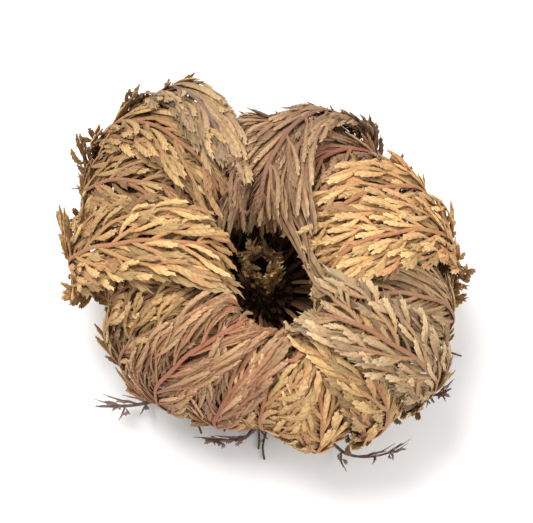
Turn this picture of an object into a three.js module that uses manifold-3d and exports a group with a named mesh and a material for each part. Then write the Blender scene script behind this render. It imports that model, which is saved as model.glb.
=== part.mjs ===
// A dry rose of Jericho: flat pinnate fronds that grow from one short crown, curl up over the shoulder
// and dip into a hollow in the middle. Millimetres, +Z up, standing on its root mat at z = 0.
import * as THREE from 'three';
import { mergeVertices } from 'three/addons/utils/BufferGeometryUtils.js';
import Module from 'manifold-3d';

const wasm = await Module();
wasm.setup();

// ---------------------------------------------------------------- driving dimensions, mm and degrees
const BODY_HALF_WIDTH = 35.2;
const BODY_HALF_DEPTH = 32.4;
const SHOULDER_HEIGHT = 20.5; // half the height of the ring of fronds
const LEAN_IN = 5; // the ring's top leans in over the hollow by this much
const RING_CLEARANCE = 3.0; // from the surface that the plant stands on to the lowest fronds

// The ring's top rises and dips round the plant: where, how wide, and how far.
const RISES = [
  { at: 132, spread: 26, amount: 1.4 },
  { at: 97, spread: 11, amount: -2.0 },
  { at: 66, spread: 24, amount: -1.0 },
  { at: -84, spread: 16, amount: -1.2 },
  { at: -108, spread: 16, amount: -2.4 },
  { at: 178, spread: 20, amount: 0.6 },
];
const SWELL_SPREAD = 11; // and it swells outward where a frond lies, this wide

// The hollow is a slot between the lobes: its middle, its direction, and its size half way down.
const HOLLOW_CENTRE = [1.6, -7.0];
const HOLLOW_TURN = 113;
const HOLLOW_HALF_LENGTH = 11.0;
const HOLLOW_HALF_WIDTH = 6.2;

const MAT_RADIUS = 9.0;
const MAT_HEIGHT = 1.5;
const MAT_SIDES = 18;
const SEAT_GAP = 0.3;
const CROWN_FOOT = MAT_HEIGHT + SEAT_GAP;
const CROWN_TOP = 13.5;
const CROWN_RADIUS = 5.6;
const CROWN_SIDES = 14;

const BLADE_THICKNESS = 0.7;
const LAYER_STEP = 1.3; // from one layer of fronds to the next one in
const RING_HALF_WIDTH = 13.5; // a layer's depth counts in full where the ring is this thick
const LOWEST_STEM = 1.5; // the outermost fronds leave the crown this far above its foot
const STEM_SPREAD = 0.85; // the layers lie closer at the crown, by this share

// A frond's way is told by its bend: 0 at the crown, UNDERSIDE below the ring, then on round the ring.
const UNDERSIDE = 30;
const STEM_HALF_WIDTH = 0.85;
const TIP_HALF_WIDTH = 0.5;
const PINNA_PITCH = 7.8; // along the stem, between two side branches on one side
const FIRST_PINNA = 50; // the bend where the side branches begin
const PINNA_ANGLE = 28;
const ANGLE_DRAW = 4; // degrees either way
const LOOK_AHEAD = 4; // a side branch spreads as wide as the blade is this far past its root
const PINNA_HALF_WIDTH = 1.1;
const SLIMMEST_PINNA = 0.22; // half the width of a short one, as a share of its length
const SHORTEST_PINNA = 0.6; // as a share of the pitch
const LENGTH_DRAW = 0.08; // as a share of the length, either way
const LONG_PINNA = 7.5; // from here on a branch bends in two places, to follow the ring's curve
const LONG_BENDS = [0.36, 0.64]; // as shares of its length
const SHORT_BENDS = [0.5];
const FORK_NOTCH = 0.78; // where a branch's two fingers part, as a share of its length
const RIGHT_FINGER = { along: 0.95, over: 1.3 }; // its tip, in lengths and in half widths
const LEFT_FINGER = { along: 1, over: 1.1 };
const WIDEST_TURN = 0.42; // a blade reaches no further round the ring than this, in radians
const STEM_PART = 6; // length of one straight piece of bare stem
const END_LENGTH = 4.2;

// Every outer frond: where it leaves the crown, how far it swings round on its way in, the bend at its
// tip, the half width of its blade, and how far the ring swells where it lies.
const OUTER_FRONDS = [
  { azimuth: 178, swing: 10, reach: 252, half: 8.0, layer: 0, swell: -0.2, colour: 'gold' },
  { azimuth: 163, swing: -8, reach: 253, half: 7.4, layer: 2, swell: 2.3, colour: 'tan' },
  { azimuth: 147, swing: -16, reach: 228, half: 6.4, layer: 1, swell: 4.7, colour: 'tan' },
  { azimuth: 132, swing: -20, reach: 206, half: 6.6, layer: 0, swell: 4.3, colour: 'gold' },
  { azimuth: 114, swing: -8, reach: 202, half: 5.6, layer: 3, swell: 4.4, colour: 'gold' },
  { azimuth: 83, swing: 7, reach: 252, half: 5.2, layer: 2, swell: -3.1, colour: 'mauve' },
  { azimuth: 67, swing: 22, reach: 246, half: 6.6, layer: 1, swell: 0.0, colour: 'mauve' },
  { azimuth: 50, swing: 30, reach: 236, half: 7.0, layer: 0, swell: -0.2, colour: 'mauve' },
  { azimuth: 33, swing: 28, reach: 258, half: 7.2, layer: 3, swell: 1.6, colour: 'red' },
  { azimuth: 17, swing: 14, reach: 262, half: 7.2, layer: 2, swell: 1.3, colour: 'gold' },
  { azimuth: 2, swing: 8, reach: 256, half: 7.6, layer: 1, swell: 1.2, colour: 'gold' },
  { azimuth: -15, swing: 2, reach: 250, half: 7.4, layer: 4, swell: 7.5, colour: 'grey' },
  { azimuth: -36, swing: -4, reach: 244, half: 7.0, layer: 0, swell: 4.9, colour: 'grey' },
  { azimuth: -55, swing: 5, reach: 215, half: 7.4, layer: 2, swell: 6.5, colour: 'tan' },
  { azimuth: -74, swing: 4, reach: 226, half: 6.6, layer: 4, swell: 7.5, colour: 'gold' },
  { azimuth: -92, swing: 2, reach: 240, half: 6.6, layer: 3, swell: -1.5, colour: 'gold' },
  { azimuth: -110, swing: 8, reach: 226, half: 6.8, layer: 2, swell: -0.8, colour: 'red' },
  { azimuth: -129, swing: 4, reach: 249, half: 7.4, layer: 1, swell: -0.8, colour: 'red' },
  { azimuth: -148, swing: 6, reach: 248, half: 7.4, layer: 3, swell: 1.2, colour: 'tan' },
  { azimuth: -166, swing: 4, reach: 258, half: 7.6, layer: 4, swell: -1.0, colour: 'gold' },
];
// Old, short fronds below them. Their tips stand off by their lift.
const OLD_SPRIGS = [
  { azimuth: -141, swing: 0, reach: 76, half: 2.8, lift: 3.4 },
  { azimuth: -100, swing: -8, reach: 74, half: 3.2, lift: 0.4 },
  { azimuth: -62, swing: 8, reach: 92, half: 3.8, lift: 1.0 },
  { azimuth: -27, swing: -6, reach: 90, half: 3.6, lift: 0.8 },
  { azimuth: 58, swing: 6, reach: 90, half: 3.6, lift: 0.8 },
  { azimuth: 152, swing: -6, reach: 86, half: 3.6, lift: 1.0 },
];
const OLD_SPRIG_COMMON = { layer: -1, pitch: 6.6, firstPinna: 44, colour: 'mauve' };

// Rings of like fronds further in. Neighbours take turns in the layers, and each one is drawn a little
// off its even place, swing, reach and width.
const MIDDLE_FRONDS = {
  count: 12,
  layers: [5, 6],
  start: 6,
  swing: 8,
  reach: 257,
  reachDraw: 22,
  half: 6.3,
  pitch: 9.4,
  firstPinna: 96,
  colour: 'tan',
};
const INNER_FRONDS = {
  count: 8,
  layers: [7, 8],
  start: 53,
  swing: -5,
  reach: 246,
  reachDraw: 20,
  half: 4.6,
  pitch: 9.0,
  firstPinna: 116,
  colour: 'olive',
};

const PLACE_DRAW = 0.2; // as a share of the space between neighbours
const SWING_DRAW = 0.5; // as a share of the swing
const WIDTH_DRAW = 0.1; // as a share of the width

// The youngest ones stand on the crown's top in a circle and bow in by their curl.
const HEART_SPRIGS = { count: 4, start: 45, radius: 3.4, length: 9, lengthDraw: 0.15, bow: 16, curl: 0.12 };
const HEART_BLADE = { half: 2.3, pitch: 3.2, reach: 1, firstPinna: 0.3 };
const HEART_SCALE = 20; // wide enough that nothing narrows the blade

// Wiry roots that wander out of the mat along the ground.
const ROOTS = [
  { azimuth: -19, length: 30, sway: -2.5 },
  { azimuth: -27, length: 24, sway: 2 },
  { azimuth: -83, length: 21, sway: 3 },
  { azimuth: -94, length: 19, sway: -2 },
  { azimuth: -150, length: 9, sway: 3 },
  { azimuth: 168, length: 14, sway: -3 },
  { azimuth: 110, length: 10, sway: 2 },
  { azimuth: 66, length: 15, sway: 3 },
  { azimuth: 20, length: 8, sway: -2 },
];
const ROOT_RADIUS = 0.42;
const ROOT_HEIGHT = 0.5; // of a root's middle line
const ROOT_PARTS = 6;
const ROOT_SIDES = 4;
const ROOT_START = 3; // inside the mat's edge
const ROOT_WAVE = 5; // radians of its sideways wave, from end to end
const SWAY_ARM = 30; // a sway of so many mm is felt this far out

const SEED = 14;

// ---------------------------------------------------------------- small helpers
const radians = THREE.MathUtils.degToRad;

function wrap(angle) {
  return THREE.MathUtils.euclideanModulo(angle + Math.PI, 2 * Math.PI) - Math.PI;
}

function mix(from, to, share) {
  return from + (to - from) * share;
}

// Seeded draws between -1 and 1, the same on every run.
function drawsFrom(seed) {
  let state = seed >>> 0;
  return () => {
    state = (Math.imul(state, 1664525) + 1013904223) >>> 0;
    return state / 2147483648 - 1;
  };
}

// ---------------------------------------------------------------- the ring that the fronds lie in
const SWELLS = OUTER_FRONDS.map((frond) => {
  return { at: frond.azimuth, spread: SWELL_SPREAD, amount: frond.swell };
});

function sumOf(lobes, azimuth) {
  let sum = 0;
  for (const { at, spread, amount } of lobes) {
    const away = wrap(azimuth - radians(at)) / radians(spread);
    sum += amount * Math.exp(-away * away);
  }
  return sum;
}

function outlinePoint(azimuth) {
  const x = Math.cos(azimuth) / BODY_HALF_WIDTH;
  const y = Math.sin(azimuth) / BODY_HALF_DEPTH;
  const radius = 1 / Math.hypot(x, y) + sumOf(SWELLS, azimuth);
  return new THREE.Vector2(Math.cos(azimuth), Math.sin(azimuth)).multiplyScalar(radius);
}

// The point of the hollow's oval edge that faces the given azimuth.
function hollowPoint(azimuth) {
  const turn = radians(HOLLOW_TURN);
  const along = HOLLOW_HALF_LENGTH * Math.cos(azimuth - turn);
  const across = HOLLOW_HALF_WIDTH * Math.sin(azimuth - turn);
  const length = Math.hypot(along, across);
  const point = new THREE.Vector2(HOLLOW_HALF_LENGTH * along, HOLLOW_HALF_WIDTH * across);
  point.divideScalar(length).rotateAround(new THREE.Vector2(), turn);
  return point.add(new THREE.Vector2(...HOLLOW_CENTRE));
}

// A point of the layer that lies the given depth below the plant's surface.
function layerPoint(azimuth, bend, depth) {
  const outer = outlinePoint(azimuth);
  const inner = hollowPoint(azimuth);
  const middle = outer.clone().add(inner).multiplyScalar(0.5);
  const outward = outer.clone().sub(inner);
  const reach = outward.length() / 2;
  outward.normalize();
  const halfHeight = SHOULDER_HEIGHT + sumOf(RISES, azimuth);
  const height = RING_CLEARANCE + halfHeight;
  const upward = halfHeight - depth;
  if (bend >= UNDERSIDE) {
    const share = 1 - depth / RING_HALF_WIDTH;
    const angle = radians(bend - UNDERSIDE - 90);
    const lean = LEAN_IN * Math.max(0, Math.sin(angle)) ** 2;
    const plan = middle.addScaledVector(outward, share * (reach * Math.cos(angle) - lean));
    return new THREE.Vector3(plan.x, plan.y, height + upward * Math.sin(angle));
  }
  // Below the ring the frond runs out from the crown in one easy curve.
  const share = bend / UNDERSIDE;
  const away = new THREE.Vector3(Math.cos(azimuth), Math.sin(azimuth), 0);
  const start = away.clone().multiplyScalar(CROWN_RADIUS + SEAT_GAP);
  start.z = CROWN_FOOT + LOWEST_STEM + depth * STEM_SPREAD;
  const end = new THREE.Vector3(middle.x, middle.y, height - upward);
  const pull = start.distanceTo(end);
  const endPull = new THREE.Vector3(outward.x, outward.y, 0).multiplyScalar(pull);
  const square = share * share;
  const cube = square * share;
  const point = start.multiplyScalar(2 * cube - 3 * square + 1);
  point.addScaledVector(away, pull * (cube - 2 * square + share));
  point.addScaledVector(end, 3 * square - 2 * cube);
  return point.addScaledVector(endPull, cube - square);
}

// How many mm one radian of azimuth is worth at a place.
function sidewaysScale(azimuth, bend, depth) {
  const step = 0.01;
  const before = layerPoint(azimuth - step, bend, depth);
  return before.distanceTo(layerPoint(azimuth + step, bend, depth)) / (2 * step);
}

// ---------------------------------------------------------------- one frond's way and blade
const PATH_STEPS = 90;

function azimuthAt(frond, bend) {
  const share = THREE.MathUtils.smoothstep(bend, FIRST_PINNA, frond.reach);
  return radians(frond.azimuth + frond.swing * share);
}

// The stem's line: its azimuth, bend and length so far, at even steps of bend.
function frondPath(frond) {
  const depth = frond.layer * LAYER_STEP;
  const steps = [];
  let last = null;
  let length = 0;
  for (let i = 0; i <= PATH_STEPS; i++) {
    const bend = (frond.reach * i) / PATH_STEPS;
    const azimuth = azimuthAt(frond, bend);
    const place = layerPoint(azimuth, bend, depth);
    length += last ? place.distanceTo(last) : 0;
    last = place;
    steps.push({ azimuth, bend, length, scale: sidewaysScale(azimuth, bend, depth) });
  }
  return steps;
}

// The values at a length along the stem, carried on straight past its tip.
function pathAt(steps, length) {
  let i = 1;
  while (i < steps.length - 1 && steps[i].length < length) i++;
  const [from, to] = [steps[i - 1], steps[i]];
  const share = (length - from.length) / (to.length - from.length);
  const value = {};
  for (const key of ['azimuth', 'bend', 'scale']) value[key] = mix(from[key], to[key], share);
  return value;
}

// Half the blade's width where the stem has the given bend: it swells, then narrows to the tip.
function halfWidthAt(frond, bend, scale) {
  const share = THREE.MathUtils.clamp((bend - frond.firstPinna) / (frond.reach - frond.firstPinna), 0, 1);
  const swell = Math.min(0.55 + 1.5 * share - 1.45 * share * share, 1);
  const room = Math.min(frond.half * swell, WIDEST_TURN * scale + STEM_HALF_WIDTH);
  return Math.max(room, STEM_HALF_WIDTH + SHORTEST_PINNA * frond.pitch * Math.sin(radians(PINNA_ANGLE)));
}

// The blade laid flat: points as [along the stem, to the side], and triangles between them.
function flatBlade(frond, steps, draw) {
  const points = [];
  const faces = [];
  const add = (along, over) => points.push([along, over]) - 1;

  // A side branch or tip: a strip that ends in two fingers. base is its right and its left corner.
  const addBranch = (base, root, direction, length) => {
    const [cos, sin] = direction;
    const half = Math.min(PINNA_HALF_WIDTH, length * SLIMMEST_PINNA);
    const at = (far, over) => add(root[0] + far * cos - over * sin, root[1] + far * sin + over * cos);
    let [right, left] = base;
    for (const share of length > LONG_PINNA ? LONG_BENDS : SHORT_BENDS) {
      const nextRight = at(length * share, -half);
      const nextLeft = at(length * share, half);
      faces.push([right, left, nextLeft], [right, nextLeft, nextRight]);
      [right, left] = [nextRight, nextLeft];
    }
    const notch = at(length * FORK_NOTCH, 0);
    const rightTip = at(length * RIGHT_FINGER.along, -half * RIGHT_FINGER.over);
    const leftTip = at(length * LEFT_FINGER.along, half * LEFT_FINGER.over);
    faces.push([right, left, notch], [right, notch, rightTip], [left, leftTip, notch]);
  };

  const total = steps[steps.length - 1].length;
  const first = steps.find((step) => step.bend >= frond.firstPinna).length;
  const stemParts = Math.max(1, Math.round(first / STEM_PART));
  const branches = 2 * Math.max(2, Math.round((total - first) / frond.pitch));
  const stops = [];
  for (let i = 0; i < stemParts; i++) stops.push((first * i) / stemParts);
  for (let i = 0; i <= branches; i++) stops.push(mix(first, total, i / branches));
  const rows = stops.map((along) => {
    const half = mix(STEM_HALF_WIDTH, TIP_HALF_WIDTH, along / total);
    return [add(along, -half), add(along, half)];
  });
  for (let i = 1; i < rows.length; i++) {
    const [before, after] = [rows[i - 1], rows[i]];
    faces.push([before[0], after[0], after[1]], [before[0], after[1], before[1]]);
  }
  for (let i = 0; i < branches; i++) {
    const column = i % 2;
    const side = column ? 1 : -1;
    const [near, far] = [rows[stemParts + i][column], rows[stemParts + i + 1][column]];
    const root = [(points[near][0] + points[far][0]) / 2, points[near][1]];
    const place = pathAt(steps, Math.min(root[0] + LOOK_AHEAD, total));
    const angle = radians(PINNA_ANGLE + ANGLE_DRAW * draw());
    const width = halfWidthAt(frond, place.bend, place.scale);
    const length = Math.max((width - STEM_HALF_WIDTH) / Math.sin(angle), SHORTEST_PINNA * frond.pitch);
    const direction = [Math.cos(angle), side * Math.sin(angle)];
    addBranch(column ? [far, near] : [near, far], root, direction, length * (1 + LENGTH_DRAW * draw()));
  }
  addBranch(rows[rows.length - 1], [total, 0], [1, 0], END_LENGTH);
  return { points, faces };
}

function flatArea(points, [a, b, c]) {
  const [x, y] = points[a];
  return (points[b][0] - x) * (points[c][1] - y) - (points[c][0] - x) * (points[b][1] - y);
}

// A thin body from flat triangles: place puts each flat point on either face, which are alike.
function bladeGeometry({ points, faces }, place) {
  const positions = [];
  for (const side of [-0.5, 0.5]) {
    for (const [along, over] of points) positions.push(...place(along, over, side * BLADE_THICKNESS));
  }
  const count = points.length;
  const turned = faces.map((face) => (flatArea(points, face) > 0 ? face : [face[0], face[2], face[1]]));
  const edges = new Set(turned.flatMap(([a, b, c]) => [`${a},${b}`, `${b},${c}`, `${c},${a}`]));
  const index = [];
  for (const [a, b, c] of turned) index.push(a, c, b, a + count, b + count, c + count);
  for (const edge of edges) {
    const [a, b] = edge.split(',').map(Number);
    if (!edges.has(`${b},${a}`)) index.push(a, b, b + count, a, b + count, a + count);
  }
  const geometry = new THREE.BufferGeometry();
  geometry.setAttribute('position', new THREE.Float32BufferAttribute(positions, 3));
  geometry.setIndex(index);
  return geometry;
}

function frondGeometry(frond, draw) {
  const steps = frondPath(frond);
  return bladeGeometry(flatBlade(frond, steps, draw), (along, over, above) => {
    const place = pathAt(steps, along);
    const azimuth = place.azimuth + over / place.scale;
    const lift = (frond.lift ?? 0) * Math.max(0, place.bend / frond.reach) ** 3;
    return layerPoint(azimuth, place.bend, frond.layer * LAYER_STEP + above - lift);
  });
}

function ringOfFronds(set, draw) {
  const fronds = [];
  for (let i = 0; i < set.count; i++) {
    fronds.push({
      ...set,
      azimuth: set.start + ((i + PLACE_DRAW * draw()) * 360) / set.count,
      swing: set.swing * (1 + SWING_DRAW * draw()),
      reach: set.reach + set.reachDraw * draw(),
      half: set.half * (1 + WIDTH_DRAW * draw()),
      layer: set.layers[i % set.layers.length],
    });
  }
  return fronds;
}

// ---------------------------------------------------------------- the plant and its pieces
const FROND_COLOURS = {
  gold: '#c89d63',
  tan: '#b48b58',
  red: '#b07f5c',
  mauve: '#9c7c66',
  grey: '#c2a98a',
  olive: '#7f6c3c',
};
const HEART_COLOUR = '#6f6236';
const CROWN_COLOUR = '#5a4128';
const ROOT_COLOUR = '#6b5848';

const plant = new THREE.Group();

function addPiece(name, geometry, colour) {
  const material = new THREE.MeshStandardMaterial({ color: colour, roughness: 0.85, metalness: 0 });
  const mesh = new THREE.Mesh(geometry, material);
  mesh.name = name;
  plant.add(mesh);
}

function addFronds(fronds, name, draw) {
  fronds.forEach((frond, i) => {
    const label = `${name}_${String(i + 1).padStart(2, '0')}`;
    addPiece(label, frondGeometry(frond, draw), FROND_COLOURS[frond.colour]);
  });
}

// The youngest fronds stand on the crown's top and curl in over it.
function addHeartSprigs(draw) {
  const { count, start, bow, curl, radius } = HEART_SPRIGS;
  for (let i = 0; i < count; i++) {
    const azimuth = radians(start + ((i + PLACE_DRAW * draw()) * 360) / count);
    const length = HEART_SPRIGS.length * (1 + HEART_SPRIGS.lengthDraw * draw());
    const away = new THREE.Vector3(Math.cos(azimuth), Math.sin(azimuth), 0);
    const round = new THREE.Vector3(-away.y, away.x, 0);
    const steps = [0, HEART_BLADE.firstPinna, 1].map((bend) => {
      return { azimuth: 0, bend, length: bend * length, scale: HEART_SCALE };
    });
    const geometry = bladeGeometry(flatBlade(HEART_BLADE, steps, draw), (along, over, above) => {
      const turn = along / bow;
      const out = radius - above - bow * curl * (1 - Math.cos(turn));
      const point = away.clone().multiplyScalar(out);
      point.addScaledVector(round, over);
      point.z = CROWN_TOP + SEAT_GAP + bow * Math.sin(turn);
      return point;
    });
    addPiece(`heart_sprig_${i + 1}`, geometry, HEART_COLOUR);
  }
}

function addCrown() {
  const height = CROWN_TOP - CROWN_FOOT;
  const profile = [
    [0, 0],
    [CROWN_RADIUS - 0.8, 0],
    [CROWN_RADIUS, height * 0.12],
    [CROWN_RADIUS - 0.3, height * 0.5],
    [CROWN_RADIUS - 0.6, height * 0.85],
    [CROWN_RADIUS - 1.6, height],
    [0, height],
  ];
  const geometry = new THREE.LatheGeometry(profile.map(([x, y]) => new THREE.Vector2(x, y)), CROWN_SIDES);
  geometry.rotateX(Math.PI / 2);
  geometry.translate(0, 0, CROWN_FOOT);
  addPiece('crown', geometry, CROWN_COLOUR);
}

// ---------------------------------------------------------------- the root mat
function solidOf(geometry) {
  geometry.deleteAttribute('normal');
  geometry.deleteAttribute('uv');
  const merged = mergeVertices(geometry);
  const corners = merged.index.array;
  const triangles = [];
  for (let i = 0; i < corners.length; i += 3) {
    const [a, b, c] = corners.slice(i, i + 3);
    if (a !== b && b !== c && c !== a) triangles.push(a, b, c);
  }
  const vertProperties = merged.attributes.position.array;
  const mesh = new wasm.Mesh({ numProp: 3, vertProperties, triVerts: Uint32Array.from(triangles) });
  return new wasm.Manifold(mesh);
}

function geometryOf(solid) {
  const mesh = solid.getMesh();
  const geometry = new THREE.BufferGeometry();
  geometry.setAttribute('position', new THREE.BufferAttribute(mesh.vertProperties, 3));
  geometry.setIndex(new THREE.BufferAttribute(mesh.triVerts, 1));
  return geometry;
}

// One wiry root: it leaves the mat at its azimuth and wanders off along the ground.
function rootGeometry({ azimuth, length, sway }) {
  const points = [];
  for (let i = 0; i <= ROOT_PARTS; i++) {
    const share = i / ROOT_PARTS;
    const turn = radians(azimuth) + (sway * Math.sin(share * ROOT_WAVE)) / SWAY_ARM;
    const far = MAT_RADIUS - ROOT_START + (length + ROOT_START) * share;
    points.push(new THREE.Vector3(far * Math.cos(turn), far * Math.sin(turn), ROOT_HEIGHT));
  }
  const shape = new THREE.Shape();
  for (let i = 0; i < ROOT_SIDES; i++) {
    const angle = (2 * Math.PI * (i + 0.5)) / ROOT_SIDES;
    const corner = [ROOT_RADIUS * Math.cos(angle), ROOT_RADIUS * Math.sin(angle)];
    if (i) shape.lineTo(...corner);
    else shape.moveTo(...corner);
  }
  const extrudePath = new THREE.CatmullRomCurve3(points);
  return new THREE.ExtrudeGeometry(shape, { steps: ROOT_PARTS, extrudePath });
}

function addRootMat() {
  const profile = [
    [0, 0],
    [MAT_RADIUS - 0.5, 0],
    [MAT_RADIUS, MAT_HEIGHT * 0.4],
    [MAT_RADIUS - 0.8, MAT_HEIGHT * 0.75],
    [CROWN_RADIUS, MAT_HEIGHT],
    [0, MAT_HEIGHT],
  ];
  const disc = new THREE.LatheGeometry(profile.map(([x, y]) => new THREE.Vector2(x, y)), MAT_SIDES);
  disc.rotateX(Math.PI / 2);
  let mat = solidOf(disc);
  for (const root of ROOTS) mat = mat.add(solidOf(rootGeometry(root)));
  addPiece('root_mat', geometryOf(mat), ROOT_COLOUR);
}

const draw = drawsFrom(SEED);
const outer = OUTER_FRONDS.map((frond) => ({ ...frond, pitch: PINNA_PITCH, firstPinna: FIRST_PINNA }));
const middle = ringOfFronds(MIDDLE_FRONDS, draw);
const inner = ringOfFronds(INNER_FRONDS, draw);
const old = OLD_SPRIGS.map((frond) => ({ ...frond, ...OLD_SPRIG_COMMON }));
addFronds(outer, 'outer_frond', draw);
addFronds(middle, 'middle_frond', draw);
addFronds(inner, 'inner_frond', draw);
addFronds(old, 'old_sprig', draw);
addHeartSprigs(draw);
addCrown();
addRootMat();

// The origin lies under the middle of the plant's box, on the surface that it stands on.
const box = new THREE.Box3().setFromObject(plant);
plant.position.set(-(box.min.x + box.max.x) / 2, -(box.min.y + box.max.y) / 2, -box.min.z);

export default plant;
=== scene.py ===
# %% [markdown]
# # A dry rose of Jericho
#
# This plant is a spikemoss. While it is dry it is a ball: some forty flat, fern-like fronds grow from one
# short woody crown, curl up over the shoulder and dip into a hollow in the middle. Each frond is built
# from thin twigs, and each twig is wrapped in tiny overlapping scale leaves, so that it looks braided.
#
# The solids hold every frond as a thin cut blade. Here each blade gives way to real twigs that follow it.
# The script works in millimetres and turns them into Blender's metres when a mesh is made.

import math

import bpy
import numpy as np
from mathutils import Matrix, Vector


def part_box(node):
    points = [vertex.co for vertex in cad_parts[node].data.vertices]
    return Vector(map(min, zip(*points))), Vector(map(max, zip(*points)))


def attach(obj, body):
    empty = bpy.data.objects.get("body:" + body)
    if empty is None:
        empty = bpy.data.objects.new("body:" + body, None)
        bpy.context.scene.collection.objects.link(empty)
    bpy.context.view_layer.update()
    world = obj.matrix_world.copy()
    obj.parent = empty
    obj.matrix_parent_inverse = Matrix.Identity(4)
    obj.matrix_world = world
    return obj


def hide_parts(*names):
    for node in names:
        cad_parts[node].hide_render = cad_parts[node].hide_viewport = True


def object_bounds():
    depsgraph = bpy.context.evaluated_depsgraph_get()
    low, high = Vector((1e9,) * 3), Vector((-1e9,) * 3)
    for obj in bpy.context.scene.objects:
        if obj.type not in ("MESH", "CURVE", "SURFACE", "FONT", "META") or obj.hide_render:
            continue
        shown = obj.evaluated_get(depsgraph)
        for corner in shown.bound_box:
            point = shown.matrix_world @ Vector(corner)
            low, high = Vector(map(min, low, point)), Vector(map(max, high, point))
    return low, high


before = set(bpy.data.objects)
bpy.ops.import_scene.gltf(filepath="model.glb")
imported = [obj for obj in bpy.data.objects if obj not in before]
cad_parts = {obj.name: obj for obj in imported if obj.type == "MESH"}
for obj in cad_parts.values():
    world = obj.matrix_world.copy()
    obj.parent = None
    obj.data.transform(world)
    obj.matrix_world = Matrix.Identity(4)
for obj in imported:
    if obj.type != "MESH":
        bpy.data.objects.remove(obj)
cad_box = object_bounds()
MM = 0.001
print("solids loaded:", len(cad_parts), "nodes")

# %% [markdown]
# ## The outer fronds
#
# A row for each outer frond: where it leaves the crown, how far it swings round on its way in, the bend at
# its tip (degrees along its way), half its blade's width, its layer, how far the ball swells out there, its
# finish and its habit. The habit is how its twigs grow: some fronds have dried into broad fans with stubby
# fingers, some into curved fingers, and some into long thin strands that run side by side. Short old sprigs
# stand off below them, near the ground. A loop of equal fronds would be quicker, but no two fronds of a
# real plant are alike, so each has a row of its own.

# %% The outer fronds and the old sprigs
OUTER_FRONDS = [
    (178, 10, 252, 8.0, 0, -0.2, "gold", "fan"),
    (163, -8, 253, 7.4, 2, 2.3, "tan", "fan"),
    (147, -16, 228, 6.4, 1, 4.7, "tan", "fingers"),
    (132, -20, 206, 6.6, 0, 4.3, "faded", "fingers"),
    (114, -8, 202, 5.6, 3, 4.4, "gold", "fingers"),
    (83, 7, 252, 5.2, 2, -3.1, "mauve", "strands"),
    (67, 22, 246, 6.6, 1, 0.0, "mauve", "strands"),
    (50, 30, 236, 7.0, 0, -0.2, "mauve", "strands"),
    (33, 28, 258, 7.2, 3, 1.6, "red", "fingers"),
    (17, 14, 262, 7.2, 2, 1.3, "gold", "fan"),
    (2, 8, 256, 7.6, 1, 1.2, "gold", "fan"),
    (-15, 2, 250, 7.4, 4, 7.5, "grey", "strands"),
    (-36, -4, 244, 7.0, 0, 4.9, "grey", "fan"),
    (-55, 5, 215, 7.4, 2, 6.5, "tan", "fan"),
    (-74, 4, 226, 6.6, 4, 7.5, "gold", "fan"),
    (-92, 2, 240, 6.6, 3, -1.5, "gold", "fingers"),
    (-110, 8, 226, 6.8, 2, -0.8, "red", "fingers"),
    (-129, 4, 249, 7.4, 1, -0.8, "red", "strands"),
    (-148, 6, 248, 7.4, 3, 1.2, "tan", "fan"),
    (-166, 4, 258, 7.6, 4, -1.0, "gold", "fan"),
]
OLD_SPRIGS = [  # the last value is how far the tips stand off
    (-141, 0, 76, 2.8, 3.4),
    (-100, -8, 74, 3.2, 0.4),
    (-62, 8, 92, 3.8, 1.0),
    (-27, -6, 90, 3.6, 0.8),
    (58, 6, 90, 3.6, 0.8),
    (152, -6, 86, 3.6, 1.0),
]
PLACE_KEYS = ("azimuth", "swing", "reach", "half")
# pitch is the mm between side branches on one side, and first_branch is the bend where they start
OUTER_SET = {"pitch": 7.8, "first_branch": 50, "fine": True}
OLD_SET = {"pitch": 6.6, "first_branch": 44, "fine": True}
OLD_LAYER = -1


def frond_of(name, place, layer, finish, habit, common, lift=0):
    """One frond's values: place has one for each of PLACE_KEYS, and common is what its whole set has."""
    frond = dict(zip(PLACE_KEYS, place))
    frond.update(common, name=name, layer=layer, lift=lift, finish=finish, habit=habit)
    return frond


outer_fronds = []
for number, (*place, layer, _, finish, habit) in enumerate(OUTER_FRONDS, 1):
    outer_fronds.append(frond_of(f"outer_frond_{number:02d}", place, layer, finish, habit, OUTER_SET))
old_sprigs = []
for number, (*place, lift) in enumerate(OLD_SPRIGS, 1):
    old_sprigs.append(frond_of(f"old_sprig_{number:02d}", place, OLD_LAYER, "old", "wires", OLD_SET, lift))
print("outer fronds:", len(outer_fronds), "and old sprigs:", len(old_sprigs))

# %% [markdown]
# ## The fronds inside
#
# The middle and inner fronds show only through the gaps and on the walls of the hollow, so they are alike
# and come from a loop, with seeded draws of their places and sizes. The solids made theirs with the same
# draws in the same order, and that is why the twigs lie where the solids' blades are.

# %% The middle and inner fronds
RING_KEYS = ("count", "layers", "start", "swing", "reach", "reach_draw", "half")
MIDDLE_RING = dict(zip(RING_KEYS, (12, (5, 6), 6, 8, 257, 22, 6.3)))
MIDDLE_SET = {"pitch": 9.4, "first_branch": 96, "fine": False}
INNER_RING = dict(zip(RING_KEYS, (8, (7, 8), 53, -5, 246, 20, 4.6)))
INNER_SET = {"pitch": 9.0, "first_branch": 116, "fine": False}
SEED = 14
PLACE_DRAW = 0.2  # of the space between two fronds
SWING_DRAW = 0.5  # of the swing, and the same for the width
WIDTH_DRAW = 0.1


def draws_from(seed):
    """Seeded draws between -1 and 1: the solids' own rule, so that the twigs follow the solids' branches."""
    state = seed
    while True:
        state = (state * 1664525 + 1013904223) % 2**32
        yield state / 2**31 - 1


draws = draws_from(SEED)


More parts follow.
